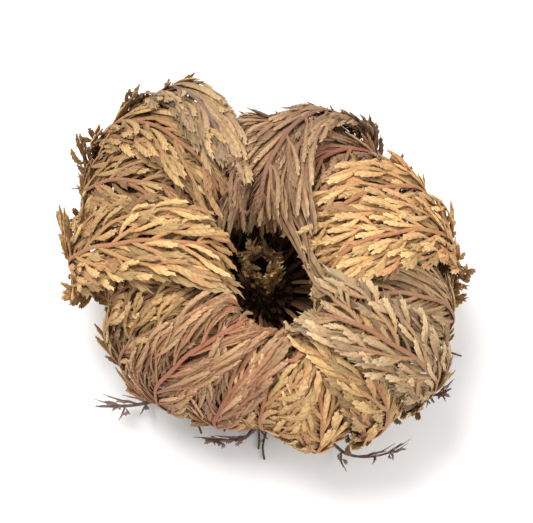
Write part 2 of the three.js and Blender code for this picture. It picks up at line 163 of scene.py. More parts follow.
def ring_of_fronds(name, ring, finish, common):
    """A set of fronds, evenly spaced but for the draws."""
    fronds = []
    for i in range(ring["count"]):
        azimuth = ring["start"] + (i + PLACE_DRAW * next(draws)) * 360 / ring["count"]
        swing = ring["swing"] * (1 + SWING_DRAW * next(draws))
        reach = ring["reach"] + ring["reach_draw"] * next(draws)
        half = ring["half"] * (1 + WIDTH_DRAW * next(draws))
        place = (azimuth, swing, reach, half)
        layer = ring["layers"][i % len(ring["layers"])]
        fronds.append(frond_of(f"{name}_{i + 1:02d}", place, layer, finish, "fan", common))
    return fronds


middle_fronds = ring_of_fronds("middle_frond", MIDDLE_RING, "tan", MIDDLE_SET)
inner_fronds = ring_of_fronds("inner_frond", INNER_RING, "olive", INNER_SET)
all_fronds = outer_fronds + middle_fronds + inner_fronds + old_sprigs
print("fronds in all:", len(all_fronds))

# %% [markdown]
# ## The ring that the fronds lie in
#
# A frond's line could be drawn by hand, point by point, but forty of them would soon cross. The fronds lie
# in layers, like an onion's, round a thick ring: a doughnut with a swollen, dented outline and a slot for
# a hole. Its outside is an oval that swells a little over each outer frond, and its top rises and dips.
# These sizes are the same as the solids', and the crown gives their place.

# %% The ring's outline and its hollow
BODY_HALF_WIDTH = 35.2
BODY_HALF_DEPTH = 32.4
RISES = [  # where, how wide and how far the ring's top rises or dips
    (132, 26, 1.4),
    (97, 11, -2.0),
    (66, 24, -1.0),
    (-84, 16, -1.2),
    (-108, 16, -2.4),
    (178, 20, 0.6),
]
SWELL_SPREAD = 11
SWELLS = [(azimuth, SWELL_SPREAD, swell) for azimuth, *_, swell, _, _ in OUTER_FRONDS]
HOLLOW_CENTRE = np.array([1.6, -7.0])
HOLLOW_TURN = math.radians(113)
HOLLOW_HALF_LENGTH = 11.0
HOLLOW_HALF_WIDTH = 6.2

crown_low, crown_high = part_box("crown")
PLANT_AXIS = np.array((crown_low + crown_high)[:2]) / 2 / MM


def sum_of(lobes, azimuth):
    """What all the lobes add at each azimuth. A lobe is a soft bump: (where, how wide, how much)."""
    total = np.zeros_like(azimuth)
    for at, spread, amount in lobes:
        away = (azimuth - math.radians(at) + math.pi) % (2 * math.pi) - math.pi
        total += amount * np.exp(-((away / math.radians(spread)) ** 2))
    return total


def hollow_point(azimuth):
    """The point of the hollow's oval edge that a frond from this azimuth dips over."""
    along = HOLLOW_HALF_LENGTH * np.cos(azimuth - HOLLOW_TURN)
    across = HOLLOW_HALF_WIDTH * np.sin(azimuth - HOLLOW_TURN)
    length = np.hypot(along, across)
    x = HOLLOW_HALF_LENGTH * along / length
    y = HOLLOW_HALF_WIDTH * across / length
    cos, sin = math.cos(HOLLOW_TURN), math.sin(HOLLOW_TURN)
    return np.stack([x * cos - y * sin, x * sin + y * cos], axis=-1) + HOLLOW_CENTRE


print("the plant's axis, mm:", PLANT_AXIS.round(2))

# %% [markdown]
# ## One point of one layer
#
# One function gives a point of any layer. It takes the azimuth round the plant, the bend (how far along its
# way the frond is: 0 at the crown, UNDERSIDE below the ring, then on round the ring), and the depth below
# the surface. Round the ring the way is an oval that leans in at its top. From the crown to the ring it is
# a smooth curve that leaves and arrives in the right direction.

# %% A point from azimuth, bend and depth
SHOULDER_HEIGHT = 20.5
LEAN_IN = 5
RING_CLEARANCE = 3.0
RING_HALF_WIDTH = 13.5
STEM_START = 5.9  # from the plant's axis
STEM_HEIGHT = 3.3
STEM_SPREAD = 0.85
UNDERSIDE = 30
RING_TOP = UNDERSIDE + 180


def smooth_way(start, leaving, end, arriving, share):
    """Points of a cubic curve from start to end, with a direction at each."""
    pull = np.linalg.norm(end - start, axis=-1)[..., None]
    way = start * (2 * share**3 - 3 * share**2 + 1)
    way += leaving * pull * (share**3 - 2 * share**2 + share)
    way += end * (3 * share**2 - 2 * share**3)
    return way + arriving * pull * (share**3 - share**2)


def layer_point(azimuth, bend, depth):
    """Points of the layers, in mm in the solids' frame, for arrays of azimuth (radians), bend and depth."""
    azimuth, bend, depth = np.broadcast_arrays(
        np.asarray(azimuth, float), np.asarray(bend, float), np.asarray(depth, float)
    )
    up = sum_of(RISES, azimuth)
    ray = np.stack([np.cos(azimuth), np.sin(azimuth)], axis=-1)
    radius = 1 / np.hypot(ray[..., 0] / BODY_HALF_WIDTH, ray[..., 1] / BODY_HALF_DEPTH)
    radius += sum_of(SWELLS, azimuth)
    outer = ray * radius[..., None]
    inner = hollow_point(azimuth)
    middle = (outer + inner) / 2
    reach = np.linalg.norm(outer - inner, axis=-1) / 2
    outward = (outer - inner) / (2 * reach[..., None])
    height = RING_CLEARANCE + SHOULDER_HEIGHT + up
    upward = SHOULDER_HEIGHT + up - depth

    angle = np.radians(bend - UNDERSIDE - 90)
    lean = LEAN_IN * np.maximum(0, np.sin(angle)) ** 2
    across = (1 - depth / RING_HALF_WIDTH) * (reach * np.cos(angle) - lean)
    plan = middle + outward * across[..., None]
    on_ring = np.concatenate([plan, (height + upward * np.sin(angle))[..., None]], axis=-1)

    flat = np.zeros_like(depth)[..., None]
    away = np.concatenate([ray, flat], axis=-1)
    start = away * STEM_START
    start[..., 2] = STEM_HEIGHT + depth * STEM_SPREAD
    end = np.concatenate([middle, (height - upward)[..., None]], axis=-1)
    arriving = np.concatenate([outward, flat], axis=-1)
    below = smooth_way(start, away, end, arriving, (bend / UNDERSIDE)[..., None])

    point = np.where((bend >= UNDERSIDE)[..., None], on_ring, below)
    point[..., :2] += PLANT_AXIS
    return point


first_azimuth = math.radians(outer_fronds[0]["azimuth"])
print("the ring's top at the first frond, mm:", layer_point(first_azimuth, RING_TOP, 0).round(1))

# %% [markdown]
# ## Laying a frond out flat
#
# A frond is much easier to grow flat, like a leaf in a herbarium, and to wrap round the plant afterwards.
# Flat, a twig's points are lengths along the stem, to the side of it, and above the blade. The function
# that place_of returns wraps such points round the ring, and twigs then bend just as the frond does. It
# reads the frond's own path: its azimuth and bend at every length along it, and how wide a turn is there.

# %% A frond's path
LAYER_STEP = 1.3
PATH_STEPS = 90
SWING_FROM = 50  # the bend where a frond starts to swing round
NUDGE = 0.01  # radians to either side, to measure how many mm a radian is


def carry_on(x, known_x, known_y):
    """Like np.interp, but it goes on straight past both ends."""
    i = np.clip(np.searchsorted(known_x, x), 1, len(known_x) - 1)
    share = (x - known_x[i - 1]) / (known_x[i] - known_x[i - 1])
    return known_y[i - 1] + share * (known_y[i] - known_y[i - 1])


def frond_path(frond):
    """The frond's line: its azimuth, bend and length so far at each step, and the mm in a radian there."""
    bend = np.linspace(0, frond["reach"], PATH_STEPS + 1)
    share = np.clip((bend - SWING_FROM) / (frond["reach"] - SWING_FROM), 0, 1)
    azimuth = np.radians(frond["azimuth"] + frond["swing"] * share * share * (3 - 2 * share))
    depth = frond["layer"] * LAYER_STEP
    line = layer_point(azimuth, bend, depth)
    pieces = np.linalg.norm(np.diff(line, axis=0), axis=1)
    beside = layer_point(azimuth + NUDGE, bend, depth) - layer_point(azimuth - NUDGE, bend, depth)
    return {
        "azimuth": azimuth,
        "bend": bend,
        "length": np.concatenate([[0], np.cumsum(pieces)]),
        "scale": np.linalg.norm(beside, axis=1) / (2 * NUDGE),
    }


longest = max(frond_path(frond)["length"][-1] for frond in all_fronds)
print("longest frond, mm:", round(longest, 1))

# %% [markdown]
# ## Wrapping it round the plant
#
# Some tips would stand far out of the ball. Cutting them off would leave a flat face, so the outermost
# points are pressed together softly, as in a full box.

# %% Wrap flat points round the plant
CUP = 0.012  # a blade's edges stand off by this, times the square of the way from its stem
STAND_OUT = 0.8  # twigs reach this far out of the solids' box at most
PRESSED = 1.8  # the outermost twigs are pressed into this depth


def pressed(points):
    """The points, with those that stand out too far pressed together softly."""
    for axis in range(3):
        for side in (-1, 1):
            limit = side * cad_box[side > 0][axis] / MM + STAND_OUT - PRESSED
            beyond = np.maximum(side * points[..., axis] - limit, 0)
            points[..., axis] -= side * (beyond - PRESSED * np.tanh(beyond / PRESSED))
    return points


def place_of(frond, path):
    """A function that wraps the frond's flat points round the ring."""

    def place(along, over, rise):
        azimuth = carry_on(along, path["length"], path["azimuth"])
        bend = carry_on(along, path["length"], path["bend"])
        scale = carry_on(along, path["length"], path["scale"])
        lift = frond["lift"] * np.maximum(0, bend / frond["reach"]) ** 3 + CUP * over * over
        depth = frond["layer"] * LAYER_STEP - rise - lift
        return pressed(layer_point(azimuth + over / scale, bend, depth))

    return place


wrap = place_of(outer_fronds[0], frond_path(outer_fronds[0]))
print("40 mm along the first frond, mm:", wrap(40.0, 0.0, 0.0).round(1))

# %% [markdown]
# ## One twig
#
# A frond branches three times: the stem carries side branches, those carry short twigs, and many twigs fork
# once more. As it dried, all of them bent forward, so a frond looks combed. Each is one line of rows, one
# row for each ring of scale leaves: it turns from its first heading to its last, wanders a little and rises
# or sinks. A stem or branch thins out, and a twig swells to a blunt finger. A particle system would scatter
# twigs without order, and a bevelled curve would be smooth, so the lines are worked out here and get their
# scales in a later step.

# %% A twig on the flat frond
FINE_ROW = 0.95  # mm from one ring of scale leaves to the next, on what shows best
PLAIN_ROW = 1.4
FEWEST_ROWS = 4
TURN_POWER = 0.8  # under 1, a line turns most near its foot
RISE_POWER = 1.5  # over 1, it rises most near its tip
WOBBLE = 4  # degrees that a twig wanders off its curve
WOBBLE_LENGTH = 1.8
BRANCH_TAPER = 0.3  # how much thinner a stem or branch is at its tip
TWIG_FOOT, TWIG_SWELL, TWIG_ROUNDING = 0.5, 0.6, 2.0  # a twig is thin at its foot and full past its middle
LAST_ROW = 0.6  # the last row is this much of its width


def twig(start, headings, length, width, order, tone, rise, fine=True, wave=0.0):
    """A line of rows. start is (along, over); headings and rise are what it has at its foot and its tip."""
    rows = max(FEWEST_ROWS, round(length / (FINE_ROW if fine else PLAIN_ROW)))
    share = np.linspace(0, 1, rows)
    turn = headings[0] + (headings[1] - headings[0]) * share**TURN_POWER
    turn += math.radians(WOBBLE) * np.sin(wave + share * length / WOBBLE_LENGTH)
    step = length / (rows - 1)
    along = start[0] + step * np.concatenate([[0], np.cumsum(np.cos(turn[:-1]))])
    over = start[1] + step * np.concatenate([[0], np.cumsum(np.sin(turn[:-1]))])
    if order < 2:
        taper = 1 - BRANCH_TAPER * share
    else:
        taper = TWIG_FOOT + TWIG_SWELL * np.sin(TWIG_ROUNDING * share)
    taper[-1] *= LAST_ROW
    return {
        "along": along,
        "over": over,
        "rise": rise[0] + (rise[1] - rise[0]) * share**RISE_POWER,
        "width": width * taper,
        "step": np.full(rows, step),
        "turn": turn,
        "share": share,
        "order": np.full(rows, float(order)),
        "tone": np.full(rows, tone),
        "fine": fine,
    }


def spot_on(line, share):
    """Where the line is at this share of it, its heading there, and its rise."""
    i = min(len(line["along"]) - 2, int(share * (len(line["along"]) - 1)))
    return (line["along"][i], line["over"][i]), line["turn"][i], line["rise"][i]


sample = twig((0, 0), (0, 0), 10, 1, 2, 0, (0, 0))
print("rows of a twig that is 10 mm long:", len(sample["along"]))

# %% [markdown]
# ## The habits, and a branch's twigs
#
# A habit says how wide and how long everything on a frond grows, so that one set of functions grows fans,
# fingers, strands and wires. A side branch leaves the stem at a wide angle, its lead, and ends nearly along
# it, its sweep. Its twigs do the same on a smaller scale. Every measure is drawn a little up or down,
# because nothing on a dried plant repeats, and each range stands here as (lowest, highest).

# %% A twig on its branch, with its fork
HABIT_KEYS = ("lead", "sweep", "space", "twig", "angle", "close", "axis", "width", "stand", "fork")
HABIT_ROWS = {
    # a side branch's first and last heading, the space between its twigs, their length, their first and
    # last angle with it, half the branch's and half their own width, how far they stand off, and how
    # many fork
    "fan": (32, 6, 2.6, 6.6, 30, 6, 0.42, 0.57, 1.4, 0.3),
    "fingers": (30, 2, 2.4, 7.6, 26, -6, 0.4, 0.53, 1.6, 0.25),
    "strands": (30, 0, 2.3, 10.0, 14, 2, 0.34, 0.4, 1.1, 0.3),
    "curls": (34, 30, 2.2, 3.4, 38, -8, 0.36, 0.5, 0.8, 0.5),
    "wires": (34, 40, 2.6, 2.2, 38, -8, 0.22, 0.28, 0.8, 0.5),
}
HABITS = {name: dict(zip(HABIT_KEYS, values)) for name, values in HABIT_ROWS.items()}
SHORTER_ON = 0.45  # how much shorter twigs are at a branch's tip
TWIG_LENGTH = (0.75, 1.2)  # times the habit's
TWIG_ANGLE = (0.75, 1.25)
LAST_ANGLE = (-6, 6)  # degrees more or less than the habit's
TWIG_STAND = (-0.8, 1.0)
TWIG_WIDTH = (0.8, 1.15)
TWIG_TONE = 0.7  # how much lighter or darker one twig is
WAVES = 6  # a wobble starts anywhere from 0 to this
STRAIGHTEN = 0.5  # twigs on the outside of a branch close up by this much of its heading
SHORTEST_FORKED = 2.2
FORK_PLACE = (0.3, 0.5)
FORK_ANGLE = (20, 34)
FORK_LENGTH = (0.5, 0.62)  # times the twig's
FORK_STAND = 0.3
FORK_BEND = 0.3
FORK_WIDTH = 0.9


def fork_of(line, hand, size, half, tip, shade, rng):
    """The second finger of a forked twig."""
    place, turn, height = spot_on(line, rng.uniform(*FORK_PLACE))
    first = turn - hand * math.radians(rng.uniform(*FORK_ANGLE))
    length = size * rng.uniform(*FORK_LENGTH)
    rise = (height, tip + FORK_STAND * rng.uniform(-1, 1))
    return twig(place, (first, first + hand * FORK_BEND), length, half * FORK_WIDTH, 3, shade, rise)


def grow_twig(axis, share, hand, outside, longest, width, habit, tone, fine, rng):
    """A twig at this share of the branch called axis, and its fork if it has one."""
    place, turn, height = spot_on(axis, share)
    size = min(habit["twig"] * (1 - SHORTER_ON * share) * rng.uniform(*TWIG_LENGTH), longest)
    lean = hand * math.radians(habit["angle"] * rng.uniform(*TWIG_ANGLE))
    close = hand * math.radians(habit["close"] + rng.uniform(*LAST_ANGLE)) - STRAIGHTEN * turn * outside
    tip = height + habit["stand"] * rng.uniform(*TWIG_STAND)
    shade = tone + TWIG_TONE * rng.uniform(-1, 1)
    half = width * rng.uniform(*TWIG_WIDTH)
    wave = WAVES * rng.random()
    line = twig(place, (turn + lean, turn + close), size, half, 2, shade, (height, tip), fine, wave)
    if fine and rng.random() < habit["fork"] and size > SHORTEST_FORKED:
        return [line, fork_of(line, hand, size, half, tip, shade, rng)]
    return [line]


print("habits:", ", ".join(HABITS))

# %% [markdown]
# ## A side branch
#
# A branch is a line of its own, with twigs left and right by turns. It reaches as far over as the blade in
# the solids does, unless it comes to the frond's tip first.

# %% A side branch
LEAD = (0.82, 1.18)  # times the habit's
BRANCH_STAND = (-0.8, 0.8)
SHORTEST_BRANCH = 3.0
PLAIN_WIDER = 1.3  # the plain branches' twigs are wider, to close the gaps
TWIGGY = 0.85  # how much of a branch its twigs' spaces fill
FIRST_TWIG, TWIG_SPAN = 0.1, 0.86  # where the twigs start, and how much of the branch they take
TWIG_PLACE = 0.3
LONGEST_TWIG = 0.7  # of the branch


def grow_branch(start, side, wide, room, habit, rng, rise, tone, fine=True, lead=None):
    """A side branch with its twigs, all flat. It reaches as far over as wide, within room along the stem."""
    first = math.radians(habit["lead"] if lead is None else lead) * rng.uniform(*LEAD)
    last = math.radians(habit["sweep"] + rng.uniform(*LAST_ANGLE))
    mean = (first + last) / 2
    length = max(SHORTEST_BRANCH, min(wide / math.sin(mean), room / math.cos(mean)))
    width = habit["width"] * (1 if fine else PLAIN_WIDER)
    rises = (rise, rise + habit["stand"] * rng.uniform(*BRANCH_STAND))
    wave = WAVES * rng.random()
    axis = twig(start, (side * first, side * last), length, habit["axis"], 1, tone, rises, fine, wave)
    lines = [axis]
    count = max(2, round(length * TWIGGY / habit["space"]))
    for i in range(count):
        share = FIRST_TWIG + TWIG_SPAN * (i + TWIG_PLACE * rng.uniform(-1, 1)) / count
        hand = 1 if i % 2 else -1
        outside = hand == side
        longest = length * LONGEST_TWIG
        lines += grow_twig(axis, share, hand, outside, longest, width, habit, tone, fine, rng)
    return lines


sample = grow_branch((0, 0), 1, 5, 20, HABITS["fan"], np.random.default_rng(0), 0, 0)
print("lines of one branch of a fan:", len(sample))

# %% [markdown]
# ## A whole frond
#
# The stem carries its side branches right and left by turns. Between two of them lies a plainer one, a
# little deeper and darker as painted shade in the gaps, which closes the gaps as on the real ball, at little
# cost.
# The thin wiry sprigs have none. Two short branches end the stem in a tuft.

# %% A frond on the flat
STEM_HALF_WIDTH = 0.85  # in the solids
STEM_HALF_WIDTHS = (0.4, 0.56)  # of a thin stem and of a stout one
STOUT_AXIS = 0.3  # a stem is stout where half its branches' width is over this
BRANCH_ANGLE = 28  # the solids' branches
BRANCH_ANGLE_DRAW = 4
LENGTH_DRAW = 0.08
LOOK_AHEAD = 4  # a branch reaches as wide as the blade is this far on
SHORTEST_SHARE = 0.6  # the shortest branch, times the pitch
PAST_BLADE = 0.4  # mm that it reaches past the blade's edge
END_LENGTH = 4.2
STEM_END = 0.8  # the stem ends at this share of the end length
STEM_TIP_RISE = 0.1
FROND_TONE = 0.4
BRANCH_TONE = 0.3
BRANCH_RISE = 0.15
DEEPER = -0.7  # how far the plain branches lie below the others, and how much darker, as painted shade
PAINTED_GAP_SHADE = -1.6
BETWEEN = (0.8, 1.2)  # where they start, in spaces from the branch before
PLAIN_WIDE = (0.8, 1.0)
PLAIN_ROOM = 3  # they have this much room at least
TUFT_BACK = 0.5  # the tuft's two branches start this far before the blade's end
TUFT_WIDE = 1.3
TUFT_RISE = 0.1
TUFT_LEAD = 18


def grow_frond(half_width_at, total, first, pitch, habit, rng, fine=True):
    """Every twig of a frond that is total long, with side branches from first on."""
    tone = FROND_TONE * rng.uniform(-1, 1)
    stout = fine and habit["axis"] > STOUT_AXIS
    stem_length = total + END_LENGTH * STEM_END
    stem_rise = (0.0, STEM_TIP_RISE)
    lines = [twig((0.0, 0.0), (0.0, 0.0), stem_length, STEM_HALF_WIDTHS[stout], 0, tone, stem_rise, fine)]
    count = 2 * max(2, math.floor((total - first) / pitch + 0.5))
    stops = np.linspace(first, total, count + 1)
    for i in range(count):
        side = 1 if i % 2 else -1
        root = (stops[i] + stops[i + 1]) / 2
        angle = math.radians(BRANCH_ANGLE + BRANCH_ANGLE_DRAW * next(draws))
        wide = half_width_at(min(root + LOOK_AHEAD, total))
        length = max((wide - STEM_HALF_WIDTH) / math.sin(angle), SHORTEST_SHARE * pitch)
        wide = length * (1 + LENGTH_DRAW * next(draws)) * math.sin(angle) + PAST_BLADE
        room = total + END_LENGTH - root
        shade = tone + BRANCH_TONE * rng.uniform(-1, 1)
        rise = BRANCH_RISE * rng.uniform(-1, 1)
        lines += grow_branch((root, 0.0), side, wide, room, habit, rng, rise, shade, fine)
        if fine and not stout:
            continue
        between = root + (stops[1] - stops[0]) * rng.uniform(*BETWEEN)
        wide *= rng.uniform(*PLAIN_WIDE)
        room = max(total + END_LENGTH - between - 1, PLAIN_ROOM)
        # the plain branch lies deeper, with painted shade added to its tone
        lines += grow_branch((between, 0.0), side, wide, room, habit, rng, DEEPER, shade + PAINTED_GAP_SHADE, False)
    for side in (-1, 1):
        tuft = (total - TUFT_BACK, 0.0)
        room = END_LENGTH + TUFT_BACK
        lines += grow_branch(tuft, side, TUFT_WIDE, room, habit, rng, TUFT_RISE, tone, fine, TUFT_LEAD)
    return lines


print("solids' branches leave the stem at", BRANCH_ANGLE, "degrees")

# %% [markdown]
# ## Dead twigs
#
# The lower part of a real stem is bare but for dead, dark twigs. From outside they are what one sees
# between the fronds instead of daylight, so their tone is darker still, as painted shade. They hang below
# the stem, close together, so a dark sheet under the fronds could stand for them, but its edge would show.

# %% Dead twigs
DEAD_START = 4.0
DEAD_HEADING = (22, 52)
DEAD_CLOSING = 0.4
DEAD_LENGTH = (0.5, 1.0)  # times the longest
DEAD_FOOT = -0.3
DEAD_DEPTH = (-1.6, -0.7)
DEAD_TONE = (-0.5, 0.5)
DEAD_HALF_WIDTH = 0.6
DEAD_STEP = (0.5, 0.95)


def dead_twigs(last, longest, tone, rng):
    """Dark twigs under the stem, from its lower part up to last."""
    lines = []
    along = DEAD_START
    hand = 1
    while along < last:
        heading = hand * math.radians(rng.uniform(*DEAD_HEADING))
        size = rng.uniform(*DEAD_LENGTH) * longest
        rise = (DEAD_FOOT, rng.uniform(*DEAD_DEPTH))
        shade = tone + rng.uniform(*DEAD_TONE)
        headings = (heading, DEAD_CLOSING * heading)
        lines.append(twig((along, 0.0), headings, size, DEAD_HALF_WIDTH, 2, shade, rise, False))
        along += rng.uniform(*DEAD_STEP)
        hand = -hand
    return lines


sample = dead_twigs(DEAD_START + 10, 8, 0, np.random.default_rng(0))
print("dead twigs on 10 mm of stem:", len(sample))

# %% [markdown]
# ## All the lines of a frond
#
# In the solids a frond is a blade that widens from its foot and narrows to its tip. The branches reach to
# that blade's edge, so that the twigs fill the same outline. Curled sprigs in the heart and wiry old ones
# have no dead twigs, and inside the ball those stop before the hollow, where they would be seen.

# %% A frond's lines
# the tones make the dead twigs darker than their own brown, as painted shade in the gaps between fronds
DEAD_OUTER = {"past": 32, "longest": 8, "tone": -1.3}  # past is how far they go beyond the first branch
DEAD_INSIDE = {"past": 24, "longest": 12, "tone": -1.6}
HOLLOW_BEND = 165  # where the fronds inside come near the hollow
WIDEST_TURN = 0.42  # half a blade's width at most, in radians round the plant
BLADE_FOOT, BLADE_WIDENS, BLADE_NARROWS = 0.55, 1.5, 1.45


def length_at(path, bend):
    """How far along the frond it first has this bend."""
    return path["length"][path["bend"] >= bend][0]


def frond_lines(frond, path, rng):
    """The frond's twigs, with the same reach to either side as its blade in the solids."""
    first = length_at(path, frond["first_branch"])
    total = path["length"][-1]
    shortest = SHORTEST_SHARE * frond["pitch"] * math.sin(math.radians(BRANCH_ANGLE))

    def half_width_at(along):
        bend = carry_on(along, path["length"], path["bend"])
        scale = carry_on(along, path["length"], path["scale"])
        share = np.clip((bend - frond["first_branch"]) / (frond["reach"] - frond["first_branch"]), 0, 1)
        swell = min(BLADE_FOOT + BLADE_WIDENS * share - BLADE_NARROWS * share * share, 1)
        room = min(frond["half"] * swell, WIDEST_TURN * scale + STEM_HALF_WIDTH)
        return max(room, STEM_HALF_WIDTH + shortest)

    habit = HABITS[frond["habit"]]
    lines = grow_frond(half_width_at, total, first, frond["pitch"], habit, rng, frond["fine"])
    if frond["habit"] in ("curls", "wires"):
        return lines
    dead = DEAD_OUTER if frond["fine"] else DEAD_INSIDE
    last = first + dead["past"]
    if not frond["fine"]:
        last = min(last, length_at(path, HOLLOW_BEND))
    return lines + dead_twigs(last, dead["longest"], dead["tone"], rng)


bare = length_at(frond_path(outer_fronds[0]), outer_fronds[0]["first_branch"])
print("bare stem on the first frond, mm:", bare.round(1))

# %% [markdown]
# ## From points to meshes
#
# Every piece of this plant is many thin tubes in one mesh. Blender could make each tube from a curve, but
# thousands of curves are slow, and a curve knows nothing of scale leaves. So the points are worked out as
# arrays, and one function turns points and faces into a mesh. The values that the finishes read, such as
# a shade for each twig, go into the mesh as attributes.

# %% A mesh from arrays
def mesh_object(name, points, face_sets, values):
    """A mesh object from points in mm and sets of faces; each set's faces have equally many corners."""
    mesh = bpy.data.meshes.new(name)
    corners = np.concatenate([faces.ravel() for faces in face_sets]).astype(np.int32)
    sizes = np.concatenate([np.full(len(faces), faces.shape[1]) for faces in face_sets])
    starts = (np.cumsum(sizes) - sizes).astype(np.int32)
    mesh.vertices.add(len(points))
    mesh.vertices.foreach_set("co", (points * MM).astype(np.float32).ravel())
    mesh.loops.add(len(corners))
    mesh.loops.foreach_set("vertex_index", corners)
    mesh.polygons.add(len(starts))
    mesh.polygons.foreach_set("loop_start", starts)
    mesh.update(calc_edges=True)
    mesh.shade_flat()
    for key, numbers in values.items():
        attribute = mesh.attributes.new(key, "FLOAT", "POINT")
        attribute.data.foreach_set("value", numbers.astype(np.float32))
    made = bpy.data.objects.new(name, mesh)
    bpy.context.scene.collection.objects.link(made)
    return made


def joined_object(name, bodies):
    """One mesh object from several (points, face sets, values)."""
    points = np.concatenate([body[0] for body in bodies])
    face_sets = []
    before = 0
    for body in bodies:
        face_sets += [faces + before for faces in body[1]]
        before += len(body[0])
    values = {key: np.concatenate([body[2][key] for body in bodies]) for key in bodies[0][2]}
    return mesh_object(name, points, face_sets, values)


def tube_faces(counts, sides):
    """Faces of closed tubes with two rings a row, all in one array; counts are the rows of each tube."""
    ends = np.cumsum(counts) * 2
    joined = np.setdiff1d(np.arange(ends[-1]), ends - 1)
    k = np.arange(sides)
    after = (k + 1) % sides
    near = joined[:, None] * sides
    far = near + sides
    quads = np.stack([near + k, near + after, far + after, far + k], axis=-1).reshape(-1, 4)
    first = (ends - np.array(counts) * 2)[:, None] * sides + k[::-1]
    last = (ends - 1)[:, None] * sides + k
    return [quads, np.concatenate([first, last])]


print("faces of a tube of 4 rows and 5 sides:", sum(len(faces) for faces in tube_faces([4], 5)))

# %% [markdown]
# ## Which way every row faces
#
# Before a tube can be wrapped round a line, each of its rows has to know which way the twig runs, which way
# is out of the plant and which way is to the side. The rows next to it give the first. The second comes
# from placing the row a little higher and a little lower. All rows of a frond are worked out at once, as
# arrays, which is far quicker than a loop over them.

# %% Directions along every line
LINE_KEYS = ("along", "over", "rise", "width", "step", "share", "order", "tone")
PROBE = 0.3  # mm above and below a row
NOT_ZERO = 1e-5  # keeps the way out from vanishing
SHORTEST_VECTOR = 1e-9


def unit(vectors):
    return vectors / np.maximum(np.linalg.norm(vectors, axis=-1, keepdims=True), SHORTEST_VECTOR)


def directions(place, along, over, rise, counts):
    """Where every row is, and which way is forward, to the side and outward there."""
    rows = np.arange(len(along))
    centre = place(along, over, rise)
    outward = place(along, over, rise + PROBE) - place(along, over, rise - PROBE)
    outward += NOT_ZERO
    number = np.repeat(np.arange(len(counts)), counts)
    ahead = np.minimum(rows + 1, rows[-1])
    behind = np.maximum(rows - 1, 0)
    ahead = np.where(number[ahead] == number, ahead, rows)
    behind = np.where(number[behind] == number, behind, rows)
    forward = unit(centre[ahead] - centre[behind])
    side = unit(np.cross(outward, forward))
    return centre, forward, side, np.cross(forward, side)


print("values that each row brings along:", ", ".join(LINE_KEYS))

# %% [markdown]
# ## Wrapping the twigs in scale leaves
#
# A twig has a flat section with few sides. At every row it steps: it flares out to the tips of one ring
# of leaves, then drops back to the foot of the next. The left side is half a row behind the right one,
# and the edges run ahead of the faces, which makes a herringbone, as on a real twig. Modelling each leaf
# by itself would take ten times the triangles and look the same from a step away. A wiry root is the same
# tube without the steps.

# %% Scaly and smooth tubes
EDGE_AHEAD = 0.3  # how far the leaf tips on the edges run ahead, in rows
FACE_BEHIND = -0.2
LEFT_BEHIND = 0.5
EDGE_COS, LEFT_COS = 0.9, -0.1  # which corners of the section are its edges, and which its left side
LEAF_LENGTH = 0.86  # in rows
SMOOTH_LENGTH = 0.5  # times that, on a smooth tube
LEAF_FOOT = 0.93  # a leaf's foot is this much of its tip's width
LEAF_DRAW = 0.06
LEAFINESS = np.array([0.3, 0.7, 1.0, 1.0])  # how scaly a stem, a branch, a twig and a fork are
FLATNESS = 0.6
FINE_SECTION = np.radians([0, 60, 120, 180, 270])
PLAIN_SECTION = np.radians([0, 90, 180, 270])


def tubes(lines, place, section, foot, flatness, rng):
    """Points, faces and values of many tubes: foot is 1 for a smooth one and less for a scaly one."""
    counts = [len(line["along"]) for line in lines]
    along, over, rise, width, step, share, order, tone = (
        np.concatenate([line[key] for line in lines]) for key in LINE_KEYS
    )
    centre, forward, side, outward = directions(place, along, over, rise, counts)
    scaly = foot < 1
    foot = (1 - (1 - foot) * LEAFINESS[order.astype(int)])[:, None]
    cos, sin = np.cos(section), np.sin(section)
    shift = np.where(np.abs(cos) > EDGE_COS, EDGE_AHEAD, FACE_BEHIND) + LEFT_BEHIND * (cos < LEFT_COS)
    jitter = 1 + LEAF_DRAW * rng.uniform(-1, 1, (len(along), len(section)))
    rings = []
    for flare, further in ((foot, 0.0), (jitter, LEAF_LENGTH)):
        half = width[:, None] * flare
        further = (shift + further) * scaly + SMOOTH_LENGTH * further * (not scaly)
        ring = centre[:, None, :] + forward[:, None, :] * (further * step[:, None])[..., None]
        ring = ring + side[:, None, :] * (half * cos)[..., None]
        ring = ring + outward[:, None, :] * (half * flatness * sin)[..., None]
        rings.append(ring)
    points = np.stack(rings, axis=1).reshape(-1, 3)
    values = {
        "leaf": np.tile(np.repeat([0.0, 1.0], len(section)), len(along)),
        "share": np.repeat(share, 2 * len(section)),
        "order": np.repeat(order, 2 * len(section)),
        "tone": np.repeat(tone, 2 * len(section)),
    }
    return points, tube_faces(counts, len(section)), values


def scaly_object(name, lines, place, rng):
    """All the twigs of one frond as one mesh object."""
    bodies = []
    for fine, section in ((True, FINE_SECTION), (False, PLAIN_SECTION)):
        chosen = [line for line in lines if line["fine"] == fine]
        if chosen:
            bodies.append(tubes(chosen, place, section, LEAF_FOOT, FLATNESS, rng))
    return joined_object(name, bodies)


print("sides of a twig:", len(FINE_SECTION), "or", len(PLAIN_SECTION))

# %% [markdown]
# ## Building finishes from nodes
#
# A finish is a small tree of shader nodes. Placing each node by hand takes four lines, so a few helpers
# make a node, set what is a number and link what is a socket. What several finishes share is a node group
# with named inputs and outputs.

# %% Helpers for nodes
COLOUR, VALUE = "NodeSocketColor", "NodeSocketFloat"
SURFACE = [("Color", COLOUR), ("Roughness", VALUE), ("Height", VALUE)]  # what each group puts out


def linear(code):
    """A colour as #rrggbb in Blender's linear numbers."""
    values = [int(code[i : i + 2], 16) / 255 for i in (1, 3, 5)]
    return [v / 12.92 if v <= 0.04045 else ((v + 0.055) / 1.055) ** 2.4 for v in values] + [1]


